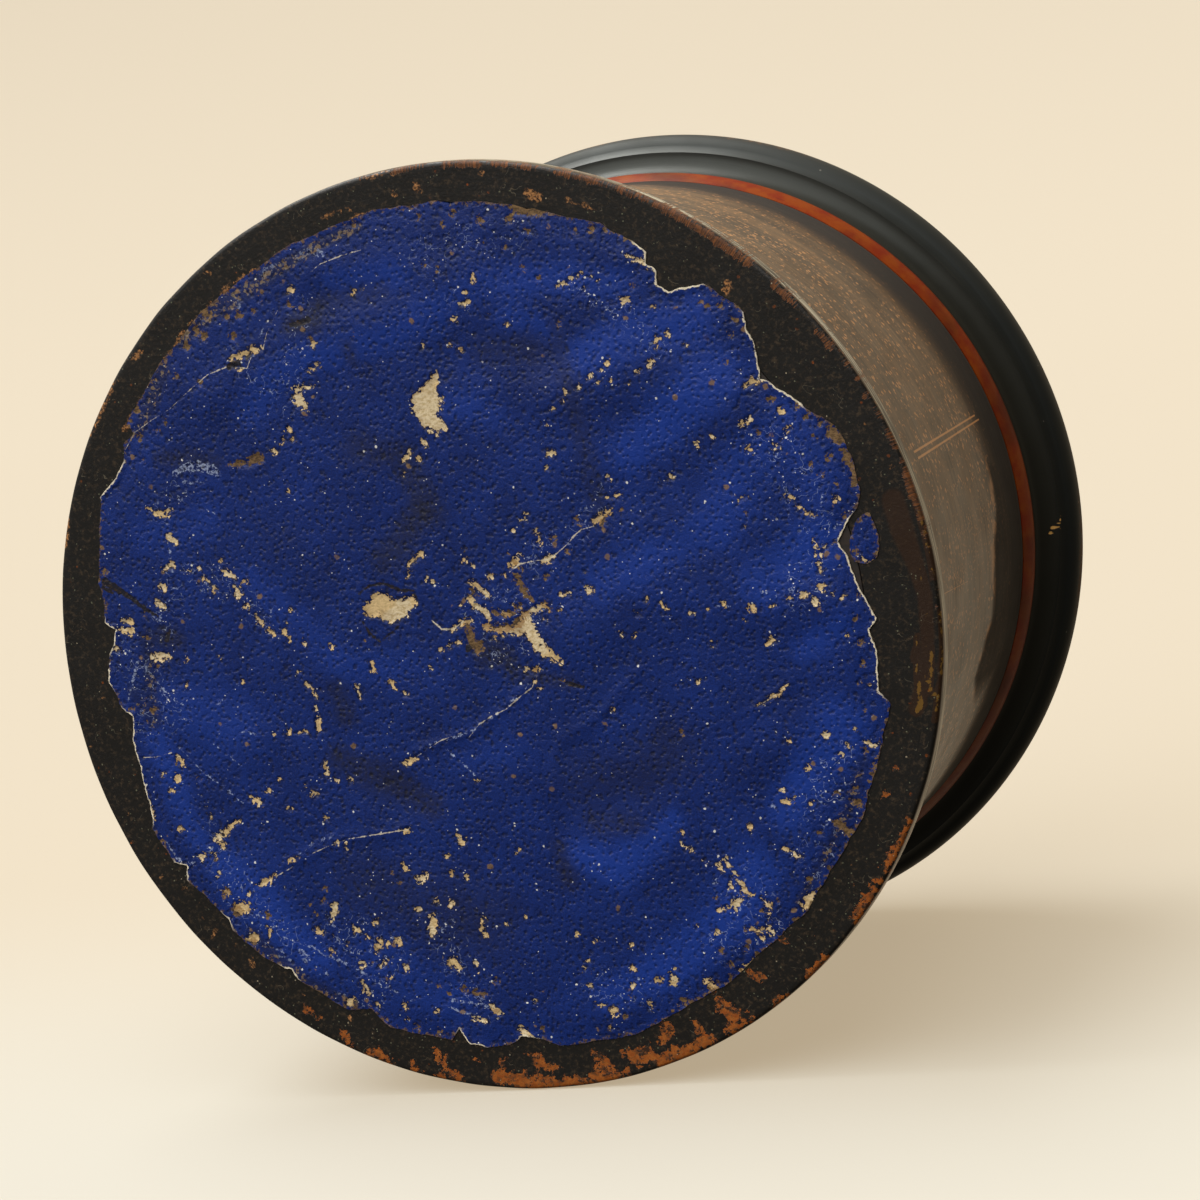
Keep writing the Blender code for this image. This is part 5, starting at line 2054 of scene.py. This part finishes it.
@dataclass
class Studio:
    """The camera of the photograph, its pale floor and its soft light."""

    place: tuple[float, float, float] = (0.12137, -0.04179, -0.29599)
    aim: tuple[float, float, float] = (0.01256, -0.00237, 0.0)
    up: tuple[float, float, float] = (0.08550, -0.98302, 0.16233)
    lens: float = 101.45
    sensor: float = 36.0
    nearest: float = 0.01
    floor_colour: Colour = (0.200, 0.189, 0.166)
    floor_painted_light_colour: Colour = (0.216, 0.232, 0.232)
    floor_glow: Colour = (0.458, 0.370, 0.252)
    floor_fade: Band = (0.12, -0.03)
    sky_colour: Colour = (0.87, 0.75, 0.57)
    dim_room: Colour = (0.07, 0.06, 0.045)
    floor_reach: float = 0.9
    floor_width: float = 2.4
    sweep_radius: float = 0.8
    sweep_steps: int = 24
    sharp_degrees: float = 60.0
    floor_gap: float = 0.00005
    lamps: tuple[Lamp, ...] = (
        Lamp("window", -0.50, 0.75, 0.50, 3.6, 80.0, (1.0, 0.99, 0.97)),
        Lamp("skylight", -0.42, 0.88, -0.20, 3.0, 40.0, (1.0, 0.98, 0.94)),
    )
    glows: tuple[Glow, ...] = (
        Glow(-0.30, 0.95, -0.05, 0.1, 0.9, 0.15, (0.84, 1.0, 1.0)),
        Glow(0.30, 0.30, -0.90, 0.1, 0.85, 0.60, (1.0, 0.79, 0.53)),
        Glow(-1.0, 0.1, 0.2, 0.2, 1.0, 0.22, (1.0, 0.97, 0.92)),
    )

    def axes(self) -> Matrix:
        """The camera's right, up and backward directions, as columns."""
        back = (Vector(self.place) - Vector(self.aim)).normalized()
        right = Vector(self.up).cross(back).normalized()
        return Matrix((right, back.cross(right), back)).transposed()

    def build_camera(self) -> None:
        """Sets up the camera at the photograph's place."""
        data = bpy.data.cameras.new("photo_camera")
        data.lens = self.lens
        data.sensor_width = self.sensor
        data.clip_start = self.nearest
        camera = bpy.data.objects.new("photo_camera", data)
        camera.matrix_world = Matrix.Translation(self.place) @ self.axes().to_4x4()
        bpy.context.scene.collection.objects.link(camera)
        bpy.context.scene.camera = camera

    def build_lamps(self) -> None:
        """Hangs the lamps."""
        axes = self.axes()
        for lamp in self.lamps:
            data = bpy.data.lights.new(lamp.name, "SUN")
            data.energy = lamp.strength
            data.angle = math.radians(lamp.spread_degrees)
            data.color = lamp.colour
            holder = bpy.data.objects.new(lamp.name, data)
            towards = axes @ Vector((lamp.right, lamp.up, lamp.near))
            holder.rotation_euler = towards.to_track_quat("Z", "Y").to_euler()
            bpy.context.scene.collection.objects.link(holder)

    def build_world(self) -> None:
        """Lights the room from above, leaves it dim behind the camera, and shows the eye a pale backdrop."""
        world = bpy.data.worlds.new("pale_room")
        bpy.context.scene.world = world
        graph = Graph(world)
        way = graph.add("ShaderNodeTexCoord").outputs["Generated"]

        def vector_math(operation: str, inputs: dict) -> bpy.types.bpy_prop_collection:
            """Adds a Vector Math node and gives its outputs."""
            return graph.add("ShaderNodeVectorMath", {"operation": operation}, inputs).outputs

        light = vector_math("ADD", {0: self.dim_room, 1: (0, 0, 0)})[0]
        for glow in self.glows:
            towards = (self.axes() @ Vector((glow.right, glow.up, glow.near))).normalized()
            turned = Signal(graph, vector_math("DOT_PRODUCT", {0: way, 1: tuple(towards)})["Value"])
            amount = turned.rise(glow.start, glow.full) * glow.strength
            tinted = vector_math("SCALE", {0: glow.colour, "Scale": amount})[0]
            light = vector_math("ADD", {0: light, 1: tinted})[0]
        fill = graph.add("ShaderNodeBackground", None, {"Color": light})
        sky = graph.add("ShaderNodeBackground", None, {"Color": full(self.sky_colour)})
        seen = graph.add("ShaderNodeLightPath").outputs["Is Camera Ray"]
        mixed = graph.add("ShaderNodeMixShader", None, {0: seen, 1: fill.outputs[0], 2: sky.outputs[0]})
        graph.add("ShaderNodeOutputWorld", None, {"Surface": mixed.outputs[0]})

    def floor_finish(self, name: str) -> bpy.types.Material:
        """Pale paper that is seen from its upper side only, with an even glow and painted light that makes it
        whiter towards the camera.
        """
        graph = Graph(bpy.data.materials.new(name))
        far = graph.add("ShaderNodeBsdfDiffuse", None, {"Color": full(self.floor_colour)})
        near = graph.add("ShaderNodeBsdfDiffuse", None, {"Color": full(self.floor_painted_light_colour)})
        # Painted light: the floor turns whiter towards the camera
        nearness = graph.axes[2].rise(*self.floor_fade)
        lit = graph.add("ShaderNodeMixShader", None, {0: nearness, 1: far.outputs[0], 2: near.outputs[0]})
        glow = graph.add("ShaderNodeEmission", None, {"Color": full(self.floor_glow)})
        pale = graph.add("ShaderNodeAddShader", None, {0: lit.outputs[0], 1: glow.outputs[0]})
        clear = graph.add("ShaderNodeBsdfTransparent")
        behind = graph.add("ShaderNodeNewGeometry").outputs["Backfacing"]
        mixed = graph.add("ShaderNodeMixShader", None, {0: behind, 1: pale.outputs[0], 2: clear.outputs[0]})
        graph.add("ShaderNodeOutputMaterial", None, {"Surface": mixed.outputs[0]})
        return graph.owner

    def build_sweep(self, foot: tuple[float, float], rim: tuple[float, float]) -> None:
        """Lays the photograph's floor against the foot and the rim, and sweeps it up behind the box.

        Args:
            foot: Level and radius where the foot touches the floor.
            rim: Level and radius where the rim touches it.
        """
        slope = (rim[1] - foot[1]) / (rim[0] - foot[0])
        near, far = -self.floor_reach, self.floor_reach
        mesh = bmesh.new()
        tip = bmesh.ops.create_vert(mesh, co=(0, foot[1] + self.floor_gap + slope * near, near))["vert"][0]
        end = bmesh.ops.extrude_vert_indiv(mesh, verts=[tip])["verts"][0]
        end.co = Vector((0, foot[1] + self.floor_gap + slope * far, far))
        centre, bend = end.co - Vector((0, self.sweep_radius, 0)), math.radians(90)
        axis, steps = (1, 0, 0), self.sweep_steps
        turned = bmesh.ops.spin(mesh, geom=[end], cent=centre, axis=axis, angle=bend, steps=steps)
        last = vertices_in(turned["geom_last"])[0]
        top = bmesh.ops.extrude_vert_indiv(mesh, verts=[last])["verts"][0]
        top.co = last.co - Vector((0, self.floor_reach, 0))
        bmesh.ops.translate(mesh, verts=mesh.verts[:], vec=(-self.floor_width / 2, 0, 0))
        side = bmesh.ops.extrude_edge_only(mesh, edges=mesh.edges[:])["geom"]
        bmesh.ops.translate(mesh, verts=vertices_in(side), vec=(self.floor_width, 0, 0))
        mesh.normal_update()
        first = min(mesh.faces, key=lambda face: face.calc_center_median().z)
        if first.normal.y > 0:
            bmesh.ops.reverse_faces(mesh, faces=mesh.faces[:])
        sweep = piece_from(mesh, "photo_floor", self.sharp_degrees)
        self.set_stage(sweep, "photo_floor_paper")

    def build_table(self, level: float) -> None:
        """Lays a floor under the upright box, which only the eye sees, from above."""
        mesh = bmesh.new()
        bmesh.ops.create_grid(mesh, x_segments=1, y_segments=1, size=self.floor_width)
        bmesh.ops.translate(mesh, verts=mesh.verts[:], vec=(0, 0, level))
        table = piece_from(mesh, "upright_floor", self.sharp_degrees)
        self.set_stage(table, "upright_floor_paper")

    def set_stage(self, piece: bpy.types.Object, finish: str) -> None:
        """Gives a floor its finish, and keeps it from lighting or shading the box."""
        piece.data.materials.append(self.floor_finish(finish))
        piece.visible_diffuse = False
        piece.visible_glossy = False
        piece.visible_shadow = False
        piece.visible_transmission = False

    def build(self) -> None:
        """Builds the camera, the lamps, the world and the floors."""
        self.build_camera()
        self.build_lamps()
        self.build_world()
        case_low, case_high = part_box("case")
        lid = Lid()
        foot_level = case_low.z + Case.fillet_height / 2
        self.build_sweep((foot_level, case_high.x), (lid.roll_z, lid.rim_radius))
        self.build_table(-self.floor_gap)
        settings = bpy.context.scene.view_settings
        settings.view_transform = "Standard"


def main() -> None:
    """Builds the dressed box and its studio."""
    logging.basicConfig(level=logging.INFO, format="%(name)s: %(message)s")
    for existing in list(bpy.data.objects):
        bpy.data.objects.remove(existing, do_unlink=True)
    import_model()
    Studio().build()
    Case().build()
    BottomDisc().build()
    RedBand().build()
    TornSheet("blue_base_paper", "base_paper", "blue_paper", SHEET_OUTLINE_SHARES).build()
    centre_shares = tuple(round_places(SCRAP_OUTLINE_SHARES).mean(axis=0))
    names = ("blue_paper_scrap", "paper_scrap", "scrap_paper")
    TornSheet(*names, SCRAP_OUTLINE_SHARES, centre_shares, relief=0.0, white_edges=()).build()
    Lid().build()
    StringEyelet().build()


if __name__ == "__main__":
    main()
